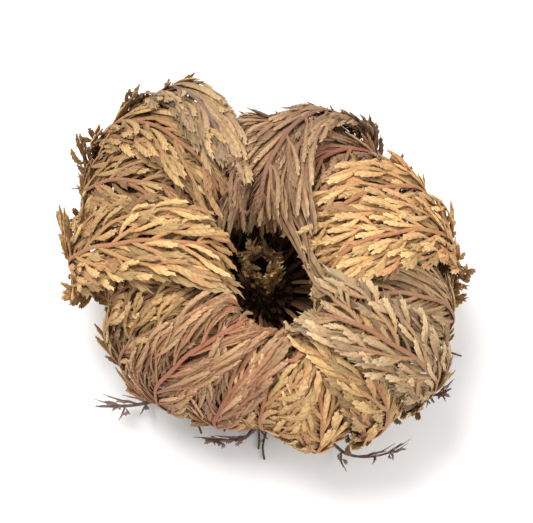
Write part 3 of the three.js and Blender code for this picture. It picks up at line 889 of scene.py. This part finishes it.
def new_group(name, inputs, outputs):
    """An empty node group, with the node that holds its inputs and the one that holds its outputs."""
    group = bpy.data.node_groups.new(name, "ShaderNodeTree")
    for socket_name, kind in inputs:
        group.interface.new_socket(socket_name, in_out="INPUT", socket_type=kind)
    for socket_name, kind in outputs:
        group.interface.new_socket(socket_name, in_out="OUTPUT", socket_type=kind)
    return group, group.nodes.new("NodeGroupInput"), group.nodes.new("NodeGroupOutput")


def feed(tree, sockets, values):
    """Sets each socket to its value, or links it where the value is another node's socket."""
    for socket, value in zip(sockets, values):
        if isinstance(value, (int, float, list)):
            socket.default_value = value
        else:
            tree.links.new(value, socket)


def math_node(tree, operation, *values, clamp=False):
    node = tree.nodes.new("ShaderNodeMath")
    node.operation = operation
    node.use_clamp = clamp
    feed(tree, node.inputs, values)
    return node.outputs[0]


def mix_node(tree, share, a, b):
    node = tree.nodes.new("ShaderNodeMix")
    node.data_type = "RGBA"
    feed(tree, (node.inputs[0], node.inputs[6], node.inputs[7]), (share, a, b))
    return node.outputs[2]


def noise_node(tree, scale, detail, roughness=0.55):
    coordinates = tree.nodes.new("ShaderNodeTexCoord")
    node = tree.nodes.new("ShaderNodeTexNoise")
    node.inputs["Scale"].default_value = scale
    node.inputs["Detail"].default_value = detail
    node.inputs["Roughness"].default_value = roughness
    tree.links.new(coordinates.outputs["Object"], node.inputs["Vector"])
    return node.outputs["Fac"]


def attribute_node(tree, name):
    node = tree.nodes.new("ShaderNodeAttribute")
    node.attribute_name = name
    return node.outputs["Fac"]


print("mid grey in linear numbers:", round(linear("#808080")[0], 3))

# %% [markdown]
# ## A material from a node group
#
# The shader stays in each material, with the group's colour and roughness led straight into it. The
# group's height goes through a bump node, for grain that is too fine to model.

# %% A material from a group
def finished_material(name, group_tree, values, bump_height, bump_strength, specular):
    """A material whose colour, roughness and bump come from the group, with these values of its inputs."""
    material = bpy.data.materials.new(name)
    material.use_nodes = True
    tree = material.node_tree
    shader = tree.nodes["Principled BSDF"]
    group = tree.nodes.new("ShaderNodeGroup")
    group.node_tree = group_tree
    feed(tree, group.inputs, values)
    bump = tree.nodes.new("ShaderNodeBump")
    bump.inputs["Distance"].default_value = bump_height
    bump.inputs["Strength"].default_value = bump_strength
    tree.links.new(group.outputs["Color"], shader.inputs["Base Color"])
    tree.links.new(group.outputs["Roughness"], shader.inputs["Roughness"])
    tree.links.new(group.outputs["Height"], bump.inputs["Height"])
    tree.links.new(bump.outputs["Normal"], shader.inputs["Normal"])
    shader.inputs["Specular IOR Level"].default_value = specular
    return material


print("each group puts out:", ", ".join(name for name, _ in SURFACE))

# %% [markdown]
# ## Papery scale leaves
#
# Dry scale leaves are dull and papery. Each is darker where the next one covers it, as painted shade, and
# pale at its tip, and twigs bleach towards their ends, while stems, the feet of twigs and some whole twigs
# stay reddish. All of that is one node group, so that every finish has it with colours of its own. It reads
# the
# values that the meshes carry: where on its leaf a point is, how far along its twig, how thick the twig's
# order is, and a shade drawn for each twig, which on plain branches and dead twigs holds painted shade as
# well.
# Painting all that on an image would need a flat map of every twig.

# %% A node group for papery scale leaves
PATCHES = (170, 3)  # a noise's scale and detail
FLECKS = (1600, 2, 0.6)
BLEACH_POWER, MOST_BLEACHED = 1.6, 0.55
LESS_STEM = 0.5  # how much of the stem's colour each further order of branching loses
STEM_PATCHES = 0.45
YOUNG, YOUNG_FADE = 0.6, 1.8  # how reddish a foot is, and how soon that ends
RUDDY_SPREAD, RUDDY_POWER, MOST_RUDDY = 37.0, 3.0, 0.75  # they pick the twigs that are reddish all along
# painted shade under a covering leaf: how it falls off along the leaf, and how dark it gets at most
COVER_SHADE_POWER, MOST_COVER_SHADE = 2.0, 0.3
SHADE_STEP, SHADE_MEAN = 0.22, 0.86
PATCH_LIGHT = 0.28
FLECKS_FROM, FLECK_CONTRAST = 0.52, 1.6
SMOOTHEST, ROUGHER = 0.66, 0.25

# the second colour is the painted shade where a leaf is covered, and the flecks' colour too
scale_inputs = [("Stem", COLOUR), ("Shade_and_flecks", COLOUR), ("Body", COLOUR), ("Tip", COLOUR)]
scales, taken, given = new_group("Scale leaves", scale_inputs, SURFACE)
leaf = attribute_node(scales, "leaf")
share = attribute_node(scales, "share")
order = attribute_node(scales, "order")
tone = attribute_node(scales, "tone")
patches = noise_node(scales, *PATCHES)
flecks = noise_node(scales, *FLECKS)

# bleached towards the tip
along_twig = math_node(scales, "POWER", share, BLEACH_POWER)
bleach = math_node(scales, "MULTIPLY", along_twig, MOST_BLEACHED, clamp=True)
body = mix_node(scales, bleach, taken.outputs["Body"], taken.outputs["Tip"])

# reddish on stems, at the feet of twigs, and on some twigs all along
branched = math_node(scales, "MULTIPLY", order, LESS_STEM)
is_stem = math_node(scales, "SUBTRACT", 1.0, branched, clamp=True)
stem_patches = math_node(scales, "ADD", patches, STEM_PATCHES)
stain = math_node(scales, "MULTIPLY", is_stem, stem_patches, clamp=True)
young = math_node(scales, "SUBTRACT", YOUNG, math_node(scales, "MULTIPLY", share, YOUNG_FADE), clamp=True)
stain = math_node(scales, "MAXIMUM", stain, young)
lot = math_node(scales, "FRACT", math_node(scales, "MULTIPLY", tone, RUDDY_SPREAD))
ruddy = math_node(scales, "MULTIPLY", math_node(scales, "POWER", lot, RUDDY_POWER), MOST_RUDDY)
stain = math_node(scales, "MAXIMUM", stain, ruddy)
body = mix_node(scales, stain, body, taken.outputs["Stem"])

# painted shade: dark where the next leaf covers it
uncovered = math_node(scales, "SUBTRACT", 1.0, leaf, clamp=True)
cover_shade_curve = math_node(scales, "POWER", uncovered, COVER_SHADE_POWER)
painted_cover_shade = math_node(scales, "MULTIPLY", cover_shade_curve, MOST_COVER_SHADE, clamp=True)
colour = mix_node(scales, painted_cover_shade, body, taken.outputs["Shade_and_flecks"])

# lighter and darker by twig and by patch, with painted shade in some twigs' tone, and with dark flecks
shade = math_node(scales, "MULTIPLY_ADD", tone, SHADE_STEP, SHADE_MEAN)
light = math_node(scales, "ADD", shade, math_node(scales, "MULTIPLY", patches, PATCH_LIGHT))
bright = scales.nodes.new("ShaderNodeHueSaturation")
scales.links.new(light, bright.inputs["Value"])
scales.links.new(colour, bright.inputs["Color"])
most_flecks = math_node(scales, "SUBTRACT", flecks, FLECKS_FROM, clamp=True)
fleck_share = math_node(scales, "MULTIPLY", most_flecks, FLECK_CONTRAST, clamp=True)
colour = mix_node(scales, fleck_share, bright.outputs["Color"], taken.outputs["Shade_and_flecks"])
rough = math_node(scales, "ADD", SMOOTHEST, math_node(scales, "MULTIPLY", flecks, ROUGHER))
feed(scales, given.inputs, (colour, rough, flecks))
print("node group:", scales.name)

# %% [markdown]
# ## The fronds' finishes
#
# Each finish then only names four colours: stem, the painted shade of a covered foot, which is also the
# flecks' colour, body and bleached tip. Old fronds have turned mauve or grey, and young ones keep a little
# olive; their finish is made the palest, as painted light, for the dim inside of the ball and the heart.

# %% The fronds' finishes
FINISHES = {
    "gold": ("#a8724e", "#6a4828", "#c89f66", "#dcbd89"),
    "tan": ("#9c6a4c", "#5f4228", "#b5905c", "#d0af7c"),
    "red": ("#9c5f48", "#61402c", "#ac845c", "#cca980"),
    "faded": ("#80655c", "#5c4534", "#bd9866", "#dcbe8e"),
    "mauve": ("#865e4a", "#553d2b", "#a27e5a", "#c8a880"),
    "grey": ("#97694c", "#664d36", "#b79566", "#e0c8a2"),
    # painted light: the palest finish, for the fronds inside and the heart, where little light falls
    "olive": ("#b98457", "#765434", "#dab273", "#ecd099"),
    "old": ("#77605a", "#544640", "#8c766c", "#a89488"),
}
LEAF_BUMP = (0.00006, 0.7)  # height in metres, and strength
LEAF_SHINE = 0.35

frond_materials = {}
for name, codes in FINISHES.items():
    colours = [linear(code) for code in codes]
    frond_materials[name] = finished_material(f"frond_{name}", scales, colours, *LEAF_BUMP, LEAF_SHINE)
print("finishes:", ", ".join(frond_materials))

# %% [markdown]
# ## Every frond
#
# Now each frond is laid out, wrapped and finished, and takes the place of its blade in the solids. One seed
# for each frond keeps its twigs the same, whatever is changed on the others.

# %% Build the fronds
SLOTS = {name: f"frond_{name}" for name in FINISHES}
SLOTS["old"] = "frond_mauve"
SLOTS["faded"] = "frond_gold"


def settle(piece, node, material):
    """Gives the piece its finish and its place: it rides with the plant and stands for that node."""
    piece.data.materials.append(material)
    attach(piece, "root")
    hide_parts(node)


quads = 0
for number, frond in enumerate(all_fronds):
    path = frond_path(frond)
    rng = np.random.default_rng(number)
    lines = frond_lines(frond, path, rng)
    piece = scaly_object(frond["name"] + "_twigs", lines, place_of(frond, path), rng)
    settle(piece, frond["name"], frond_materials[frond["finish"]])
    quads += len(piece.data.polygons)
print("faces of all the fronds:", quads)

# %% [markdown]
# ## The heart
#
# The youngest sprigs stand on the crown's top, at the bottom of the hollow, and bow in over it. They are
# grown flat like the others, but they bend round a circle of their own, so they get a place function of
# their own. Little light falls in there, so they are tan and pale olive by turns, to be seen at all.

# %% Heart sprigs
HEART_COUNT = 4
HEART_SEED = 100
HEART_START = 45
HEART_RADIUS = 3.4
HEART_LENGTH = 9
HEART_LENGTH_DRAW = 0.15
HEART_BOW = 16  # the circle that they bend round
HEART_CURL = 0.12  # how much of that bend leans in
HEART_SCALE = 20  # mm in a radian, as for the fronds, though they don't turn
HEART_BARE = 0.3  # how much of a sprig has no side branches
HEART_SPRIG = {"half": 2.3, "pitch": 3.2, "reach": 1, "first_branch": HEART_BARE}
HEART_SPRIG.update(habit="curls", fine=False)
HEART_FINISHES = ("tan", "olive")
SEAT_GAP = 0.3
CROWN_FOOT, CROWN_TOP = (round(corner[2] / MM, 1) for corner in (crown_low, crown_high))


def heart_place(azimuth):
    """A function that bends a heart sprig's flat points up from the crown and in over it."""
    cos, sin = math.cos(azimuth), math.sin(azimuth)

    def place(along, over, rise):
        turn = along / HEART_BOW
        out = HEART_RADIUS + rise - HEART_BOW * HEART_CURL * (1 - np.cos(turn))
        x = PLANT_AXIS[0] + cos * out - sin * over
        y = PLANT_AXIS[1] + sin * out + cos * over
        return np.stack([x, y, CROWN_TOP + SEAT_GAP + HEART_BOW * np.sin(turn)], axis=-1)

    return place


for i in range(HEART_COUNT):
    azimuth = math.radians(HEART_START + (i + PLACE_DRAW * next(draws)) * 360 / HEART_COUNT)
    length = HEART_LENGTH * (1 + HEART_LENGTH_DRAW * next(draws))
    bends = np.array([0, HEART_BARE, 1])
    path = {"bend": bends, "length": bends * length, "scale": np.full(3, HEART_SCALE)}
    rng = np.random.default_rng(HEART_SEED + i)
    lines = frond_lines(HEART_SPRIG, path, rng)
    piece = scaly_object(f"heart_sprig_{i + 1}_twigs", lines, heart_place(azimuth), rng)
    settle(piece, f"heart_sprig_{i + 1}", frond_materials[HEART_FINISHES[i % 2]])
print("heart sprigs:", HEART_COUNT, "on a crown from", CROWN_FOOT, "to", CROWN_TOP, "mm")

# %% [markdown]
# ## The finish of bark and roots
#
# Bark and roots are fibrous: fine dark lines run along them, over patches of lighter dead tissue. Noise
# that is stretched in one direction gives fibres. The crown and the roots share it as a node group, each
# with a light and a dark colour and a fineness of its own.

# %% A node group for fibres
STRETCH = (1, 1, 0.25)
GRAIN_DETAIL = 3
BLOTCHES = (260, 2)
GRAIN_FROM, GRAIN_CONTRAST = 0.35, 2.4
BLOTCH_LIGHT = 0.35
FIBRE_SMOOTHEST, FIBRE_ROUGHER = 0.7, 0.2
FIBRE_BUMP = (0.0002, 1.0)
FIBRE_SHINE = 0.3

fibre_inputs = [("Light", COLOUR), ("Dark", COLOUR), ("Fineness", VALUE)]
fibres, taken, given = new_group("Fibre grain", fibre_inputs, SURFACE)
coordinates = fibres.nodes.new("ShaderNodeTexCoord")
stretch = fibres.nodes.new("ShaderNodeMapping")
stretch.inputs["Scale"].default_value = STRETCH
fibres.links.new(coordinates.outputs["Object"], stretch.inputs["Vector"])
grain = fibres.nodes.new("ShaderNodeTexNoise")
grain.inputs["Detail"].default_value = GRAIN_DETAIL
fibres.links.new(stretch.outputs["Vector"], grain.inputs["Vector"])
fibres.links.new(taken.outputs["Fineness"], grain.inputs["Scale"])
blotches = noise_node(fibres, *BLOTCHES)
above = math_node(fibres, "SUBTRACT", grain.outputs["Fac"], GRAIN_FROM)
depth = math_node(fibres, "MULTIPLY", above, GRAIN_CONTRAST, clamp=True)
depth = math_node(fibres, "MULTIPLY", depth, math_node(fibres, "ADD", blotches, BLOTCH_LIGHT), clamp=True)
colour = mix_node(fibres, depth, taken.outputs["Dark"], taken.outputs["Light"])
rough = math_node(fibres, "ADD", FIBRE_SMOOTHEST, math_node(fibres, "MULTIPLY", depth, FIBRE_ROUGHER))
feed(fibres, given.inputs, (colour, rough, grain.outputs["Fac"]))

# light, dark and fineness
bark_values = (linear("#7d5a3b"), linear("#35230f"), 1400)
root_values = (linear("#8a6e54"), linear("#4a3826"), 2200)
bark = finished_material("crown_bark", fibres, bark_values, *FIBRE_BUMP, FIBRE_SHINE)
root_fibre = finished_material("root_fibre", fibres, root_values, *FIBRE_BUMP, FIBRE_SHINE)
print("node group:", fibres.name)

# %% [markdown]
# ## Smooth wires and lathed bodies
#
# Stubs, roots and fibres are smooth and thin out to their tips. They are tubes as well, from the same
# function as the twigs, but their points are given in space and need no wrapping. The crown and the root
# pad are turned bodies. A lathe or a cylinder would be too even, so waves run round them.

# %% Smooth wires and lathed bodies
WIRE_WIDTH = (0.85, 1.15)


def wire(points, radius, rng, tip=0.5):
    """A smooth tube's values from its points in mm: its width shrinks to the tip."""
    rows = len(points)
    share = np.linspace(0, 1, rows)
    step = np.full(rows, np.linalg.norm(np.diff(points, axis=0), axis=1).mean())
    return {
        "along": points[:, 0],
        "over": points[:, 1],
        "rise": points[:, 2],
        "width": radius * (1 + (tip - 1) * share) * rng.uniform(*WIRE_WIDTH, rows),
        "step": step,
        "share": share,
        "order": np.zeros(rows),
        "tone": np.full(rows, rng.uniform(-1, 1)),
        "fine": False,
    }


def as_it_is(x, y, z):
    """The place function of points that are already in space."""
    return np.stack([x, y, z], axis=-1)


def polar(azimuth, far, z):
    """Points in mm round the plant's axis."""
    azimuth, far, z = np.broadcast_arrays(azimuth, far, z)
    x = PLANT_AXIS[0] + far * np.cos(azimuth)
    y = PLANT_AXIS[1] + far * np.sin(azimuth)
    return np.stack([x, y, z], axis=-1)


def round_body(profile, sides, bump_of):
    """Points, faces and values of a closed lathed body; bump_of(angle, share of its height) swells it."""
    angle = np.arange(sides) * 2 * math.pi / sides
    rings = []
    for i, (radius, z) in enumerate(profile):
        rings.append(polar(angle, radius * (1 + bump_of(angle, i / (len(profile) - 1))), z))
    k = np.arange(sides)
    after = (k + 1) % sides
    quads = []
    for low in range(0, (len(profile) - 1) * sides, sides):
        high = low + sides
        quads.append(np.stack([low + k, low + after, high + after, high + k], axis=-1))
    caps = np.stack([k[::-1], (len(profile) - 1) * sides + k])
    values = {key: np.zeros(len(profile) * sides) for key in ("leaf", "share", "order", "tone")}
    return np.concatenate(rings), [np.concatenate(quads), caps], values


print("a point 10 mm from the axis, mm:", polar(0.0, 10.0, 0.0).round(2))

# %% [markdown]
# ## Stubs of old fronds
#
# The crown is rough with the stubs of fronds that broke off. They stand out all over it, pointing up and
# out, and close together on its top, where one looks down on them through the hollow. Turning each by the
# golden angle from the one before spreads them evenly and leaves no rows.

# %% Stubs
CROWN_SEED = 200
GOLDEN_TURN = 2.4  # radians, about the golden angle
STUBS = 110
STUB_ROWS = 4
STUB_SHAKE = 0.1
STUB_DEPTH = 4.3  # from the axis to where a stub starts
STUB_LEAN = (0.3, 1.1)
LOWEST_STUB, HIGHEST_STUB = 0.8, 0.6  # from the crown's foot and from its top
STUB_LENGTH, STUB_RADIUS, STUB_TIP = (1.4, 2.8), (0.4, 0.7), 0.75
TOP_STUBS = 60
TOP_REACH = 3.9  # those on the top stand within this of the axis
TOP_SUNK = 0.6
TOP_WAY, TOP_TWIST = 0.5, 0.8  # how far they lean, and how far round from straight out
TOP_LENGTH, TOP_RADIUS, TOP_TIP = (1.2, 3.2), (0.35, 0.6), 0.6
STUB_SECTION = np.radians([0, 72, 144, 216, 288])


def stub(foot, way, lengths, radii, tip, rng):
    """A stub from its foot, with a length and a radius from these ranges."""
    length = rng.uniform(*lengths)
    shake = STUB_SHAKE * rng.uniform(-1, 1, (STUB_ROWS, 3))
    points = foot + way * length * np.linspace(0, 1, STUB_ROWS)[:, None] + shake
    return wire(points, rng.uniform(*radii), rng, tip)


rng = np.random.default_rng(CROWN_SEED)
lines = []
for i in range(STUBS):
    azimuth = i * GOLDEN_TURN
    height = CROWN_FOOT + LOWEST_STUB + (CROWN_TOP - CROWN_FOOT - LOWEST_STUB - HIGHEST_STUB) * i / STUBS
    lean = rng.uniform(*STUB_LEAN)
    away = np.array([math.cos(azimuth), math.sin(azimuth), 0])
    foot = np.array([*PLANT_AXIS, height]) + away * STUB_DEPTH
    way = away * math.cos(lean) + np.array([0, 0, math.sin(lean)])
    lines.append(stub(foot, way, STUB_LENGTH, STUB_RADIUS, STUB_TIP, rng))
for i in range(TOP_STUBS):
    azimuth = i * GOLDEN_TURN
    foot = polar(azimuth, TOP_REACH * math.sqrt((i + 0.5) / TOP_STUBS), CROWN_TOP - TOP_SUNK)
    turn = azimuth + TOP_TWIST
    way = np.array([TOP_WAY * math.cos(turn), TOP_WAY * math.sin(turn), 1])
    lines.append(stub(foot, way, TOP_LENGTH, TOP_RADIUS, TOP_TIP, rng))
print("stubs on the crown:", len(lines))

# %% [markdown]
# ## The crown
#
# The short woody stem under the stubs is a turned body with rounded ends and waves that wind round it. It
# stays a little inside the solid, which leaves room for the stubs, and both become one piece.

# %% Crown
CROWN_RADIUS = 5.6
BARK_INSIDE = 0.4
TOP_ROUNDING, FOOT_ROUNDING = 1.4, 0.7
CROWN_RINGS = 16
CROWN_SIDES = 40
CROWN_WAVES = ((0.05, 5, 3), (0.035, 11, -7), (0.03, 17, 19))  # height, waves round it, twist


def crown_bumps(angle, share):
    return sum(height * np.sin(count * angle + twist * share) for height, count, twist in CROWN_WAVES)


share = np.linspace(0, 1, CROWN_RINGS)
radius = CROWN_RADIUS - BARK_INSIDE - TOP_ROUNDING * share**4 - FOOT_ROUNDING * (1 - share) ** 6
crown_profile = list(zip(radius, CROWN_FOOT + (CROWN_TOP - CROWN_FOOT) * share))
bodies = [round_body(crown_profile, CROWN_SIDES, crown_bumps)]
bodies.append(tubes(lines, as_it_is, STUB_SECTION, 1, 1, rng))
crown = joined_object("crown_stem", bodies)
settle(crown, "crown", bark)
print("faces of the crown:", len(crown.data.polygons))

# %% [markdown]
# ## The root mat's pad
#
# The roots under the plant are felted into a flat pad that it stands on. Under the felt it is a low lumpy
# disc, with a flat foot so that the plant stands firmly.

# %% The pad
MAT_RADIUS = 9.0
MAT_HEIGHT = 1.5
MAT_PROFILE = [(8.5, 0), (MAT_RADIUS, 0.5), (8.4, 1.05), (6.4, 1.4), (3, MAT_HEIGHT)]
MAT_SIDES = 48
MAT_WAVES = ((0.03, 7, 0), (0.025, 12, 2))  # height, waves round it, where they start
MAT_SHRINK = 0.03


def mat_bumps(angle, share):
    return sum(height * np.sin(count * angle + start) for height, count, start in MAT_WAVES) - MAT_SHRINK


pad = round_body(MAT_PROFILE, MAT_SIDES, mat_bumps)
print("points of the pad:", len(pad[0]))

# %% [markdown]
# ## Long roots
#
# A few wiry roots wander off from the pad. They follow the solids', and they taper, wriggle and carry side
# rootlets. A row for each root gives where it leaves the pad, how long it is and how far it sways.

# %% Long roots
MAT_SEED = 300
LONG_ROOTS = [
    (-19, 30, -2.5),
    (-27, 24, 2),
    (-83, 21, 3),
    (-94, 19, -2),
    (-150, 9, 3),
    (168, 14, -3),
    (110, 10, 2),
    (66, 15, 3),
    (20, 8, -2),
]
ROOT_ROWS = 22
ROOT_HEIGHT = 0.5
ROOT_HUMPS = 0.12
ROOT_INSIDE = 3  # how far inside the pad a root starts
ROOT_RADIUS, ROOT_TIP = 0.42, 0.45
SWAY_WAVES, SWAY_AT = 5, 30  # the sway is in mm at this distance
WRIGGLE = 0.05
ROOTLET_EVERY = 5
ROOTLET_ROWS = 5
ROOTLET_FIRST, ROOTLET_LAST = 7, 20  # rows of the root
ROOTLET_HEADING = (0.4, 1.1)
ROOTLET_LENGTH = (1.5, 4.5)
ROOTLET_SHAKE = 0.15
ROOTLET_HEIGHT = (0.2, 1.0)
ROOTLET_RADIUS = 0.2


def long_root(azimuth, length, sway, rng):
    """One root with its side rootlets."""
    share = np.linspace(0, 1, ROOT_ROWS)
    turn = math.radians(azimuth) + sway * np.sin(SWAY_WAVES * share) / SWAY_AT
    wriggle = np.cumsum(rng.uniform(-1, 1, ROOT_ROWS)) * WRIGGLE
    far = MAT_RADIUS - ROOT_INSIDE + (length + ROOT_INSIDE) * share
    points = polar(turn + wriggle / far, far, ROOT_HEIGHT + ROOT_HUMPS * rng.uniform(0, 1, ROOT_ROWS))
    lines = [wire(points, ROOT_RADIUS, rng, ROOT_TIP)]
    for _ in range(round(length / ROOTLET_EVERY)):
        i = rng.integers(ROOTLET_FIRST, ROOTLET_LAST)
        heading = turn[i] + rng.choice([-1, 1]) * rng.uniform(*ROOTLET_HEADING)
        size = rng.uniform(*ROOTLET_LENGTH) * np.linspace(0, 1, ROOTLET_ROWS)[:, None]
        way = np.array([math.cos(heading), math.sin(heading), 0])
        side = points[i] + way * size + ROOTLET_SHAKE * rng.uniform(-1, 1, (ROOTLET_ROWS, 3))
        side[:, 2] = np.clip(side[:, 2], *ROOTLET_HEIGHT)
        lines.append(wire(side, ROOTLET_RADIUS, rng))
    return lines


mat_rng = np.random.default_rng(MAT_SEED)
mat_lines = []
for row in LONG_ROOTS:
    mat_lines += long_root(*row, mat_rng)
print("long roots and their rootlets:", len(mat_lines))

# %% [markdown]
# ## The felt
#
# Short fibres cross each other all over the pad and lie on its surface. A hair system would grow them
# upright, and combing it flat takes longer than laying each fibre down by a formula.

# %% Felt
FELT = 320
FELT_REACH = 9.4
FELT_ROWS = 6
FELT_BEND = (-1.2, 1.2)
FELT_LENGTH = (2, 4.5)
FELT_ROUND = 10.2  # where the pad's top has fallen to the ground
FELT_PROUD, FELT_SHAKE = 0.25, 0.2
FELT_HEIGHT = (0.2, 1.8)
FELT_RADIUS, FELT_TIP = (0.14, 0.24), 0.6


def felt_fibre(rng):
    """One short bent fibre that lies on the pad."""
    azimuth = rng.uniform(-math.pi, math.pi)
    start = polar(azimuth, FELT_REACH * math.sqrt(rng.random()), 0.0)
    heading = rng.uniform(-math.pi, math.pi)
    share = np.linspace(0, 1, FELT_ROWS)
    turn = heading + rng.uniform(*FELT_BEND) * share
    way = np.stack([np.cos(turn), np.sin(turn), np.zeros(FELT_ROWS)], axis=-1)
    points = start + way * rng.uniform(*FELT_LENGTH) * share[:, None]
    out = np.linalg.norm(points[:, :2] - PLANT_AXIS, axis=1)
    top = MAT_HEIGHT * (1 - np.clip(out / FELT_ROUND, 0, 1) ** 4) + FELT_PROUD
    points[:, 2] = np.clip(top + FELT_SHAKE * rng.uniform(-1, 1, FELT_ROWS), *FELT_HEIGHT)
    return wire(points, rng.uniform(*FELT_RADIUS), rng, FELT_TIP)


mat_lines += [felt_fibre(mat_rng) for _ in range(FELT)]
print("fibres of felt:", FELT)

# %% [markdown]
# ## Dry rootlets, and the mat as one piece
#
# Fine dry rootlets fill the low space between the crown and the fronds: on the real plant they are what
# makes the gaps near the ground so dark. They lie in all directions, each a little higher or lower than
# the next. Then the pad, the roots, the felt and the rootlets become one piece.

# %% Dry rootlets and the whole root mat
DRY_ROOTLETS = 700
DRY_ROWS = 6
DRY_START = (5, 18)
DRY_LENGTH = (6, 10)
DRY_FOOT = 1.2
DRY_SLOPE = (0.0, 0.25)  # how much higher one starts for each mm further out
DRY_RISE, DRY_RISE_POWER = (-1, 5), 1.5
DRY_LOWEST = 0.5
DRY_SWAY, DRY_SHAKE = (-0.5, 0.5), (-0.05, 0.05)
DRY_RADIUS = (0.3, 0.5)


def dry_rootlet(azimuth, rng):
    """One rootlet that leads outward and a little up."""
    share = np.linspace(0, 1, DRY_ROWS)
    start = rng.uniform(*DRY_START)
    far = start + rng.uniform(*DRY_LENGTH) * share
    rise = DRY_FOOT + (start - DRY_START[0]) * rng.uniform(*DRY_SLOPE)
    rise = rise + rng.uniform(*DRY_RISE) * share**DRY_RISE_POWER
    turn = azimuth + rng.uniform(*DRY_SWAY) * share + rng.uniform(*DRY_SHAKE, DRY_ROWS)
    points = polar(turn, far, np.clip(rise, DRY_LOWEST, None))
    return wire(points, rng.uniform(*DRY_RADIUS), rng)


mat_lines += [dry_rootlet(GOLDEN_TURN * i, mat_rng) for i in range(DRY_ROOTLETS)]
bodies = [pad, tubes(mat_lines, as_it_is, PLAIN_SECTION, 1, 1, mat_rng)]
mat = joined_object("root_mat_fibres", bodies)
settle(mat, "root_mat", root_fibre)
print("roots and fibres:", len(mat_lines))

# %% [markdown]
# ## The floor
#
# The plant stands on a wide sheet of pale paper. It lies a hair below the roots, so that the two faces
# don't flicker into each other.

# %% Floor
PAPER = 0.9  # its grey, and its roughness too
FLOOR_HALF = 3  # metres
FLOOR_BELOW = 0.00005

floor_mesh = bpy.data.meshes.new("floor")
floor_corners = [(x * FLOOR_HALF, y * FLOOR_HALF, 0) for x, y in ((-1, -1), (1, -1), (1, 1), (-1, 1))]
floor_mesh.from_pydata(floor_corners, [], [(0, 1, 2, 3)])
floor = bpy.data.objects.new("floor", floor_mesh)
floor.location.z = -FLOOR_BELOW
bpy.context.scene.collection.objects.link(floor)
paper = bpy.data.materials.new("floor_paper")
paper.use_nodes = True
paper_shader = paper.node_tree.nodes["Principled BSDF"]
paper_shader.inputs["Base Color"].default_value = (PAPER, PAPER, PAPER, 1)
paper_shader.inputs["Roughness"].default_value = PAPER
floor_mesh.materials.append(paper)
print("floor, metres across:", 2 * FLOOR_HALF)

# %% [markdown]
# ## The light
#
# A large soft lamp from behind the left shoulder models the twigs, and a weaker one fills in from the front
# right. Sunlight would be harsher and lose the hollow in black.

# %% Lamps and sky
LAMPS = {  # place, size and power
    "key_lamp": ((-0.17, 0.13, 0.63), 0.34, 4.1),
    "fill_lamp": ((0.4, -0.3, 0.45), 0.5, 2.2),
}
LIT_POINT = Vector((0, 0, 0.02))
SKY = 0.68

for name, (place, size, power) in LAMPS.items():
    data = bpy.data.lights.new(name, "AREA")
    data.shape = "DISK"
    data.size = size
    data.energy = power
    lamp = bpy.data.objects.new(name, data)
    lamp.location = place
    lamp.rotation_euler = (LIT_POINT - Vector(place)).to_track_quat("-Z", "Y").to_euler()
    bpy.context.scene.collection.objects.link(lamp)
world = bpy.data.worlds.new("studio")
world.use_nodes = True
world.node_tree.nodes["Background"].inputs["Color"].default_value = (1, 1, 1, 1)
world.node_tree.nodes["Background"].inputs["Strength"].default_value = SKY
bpy.context.scene.world = world
bpy.context.scene.view_settings.view_transform = "Standard"
print("lamps:", ", ".join(LAMPS))

# %% [markdown]
# ## The camera
#
# It looks down on the plant at a steep angle, from the front, so that the hollow and the front of the ball
# both show. A long lens keeps the ball from looking swollen.

# %% Camera
ELEVATION = math.radians(68)
DISTANCE = 0.42
LENS = 155
TARGET = Vector((0, 0, 0.025))

camera_data = bpy.data.cameras.new("camera")
camera_data.lens = LENS
camera = bpy.data.objects.new("camera", camera_data)
back = Vector((0, -math.cos(ELEVATION), math.sin(ELEVATION)))
camera.location = TARGET + back * DISTANCE
camera.rotation_euler = (-back).to_track_quat("-Z", "Y").to_euler()
bpy.context.scene.collection.objects.link(camera)
bpy.context.scene.camera = camera
print("camera", round(math.degrees(ELEVATION)), "degrees above the floor")
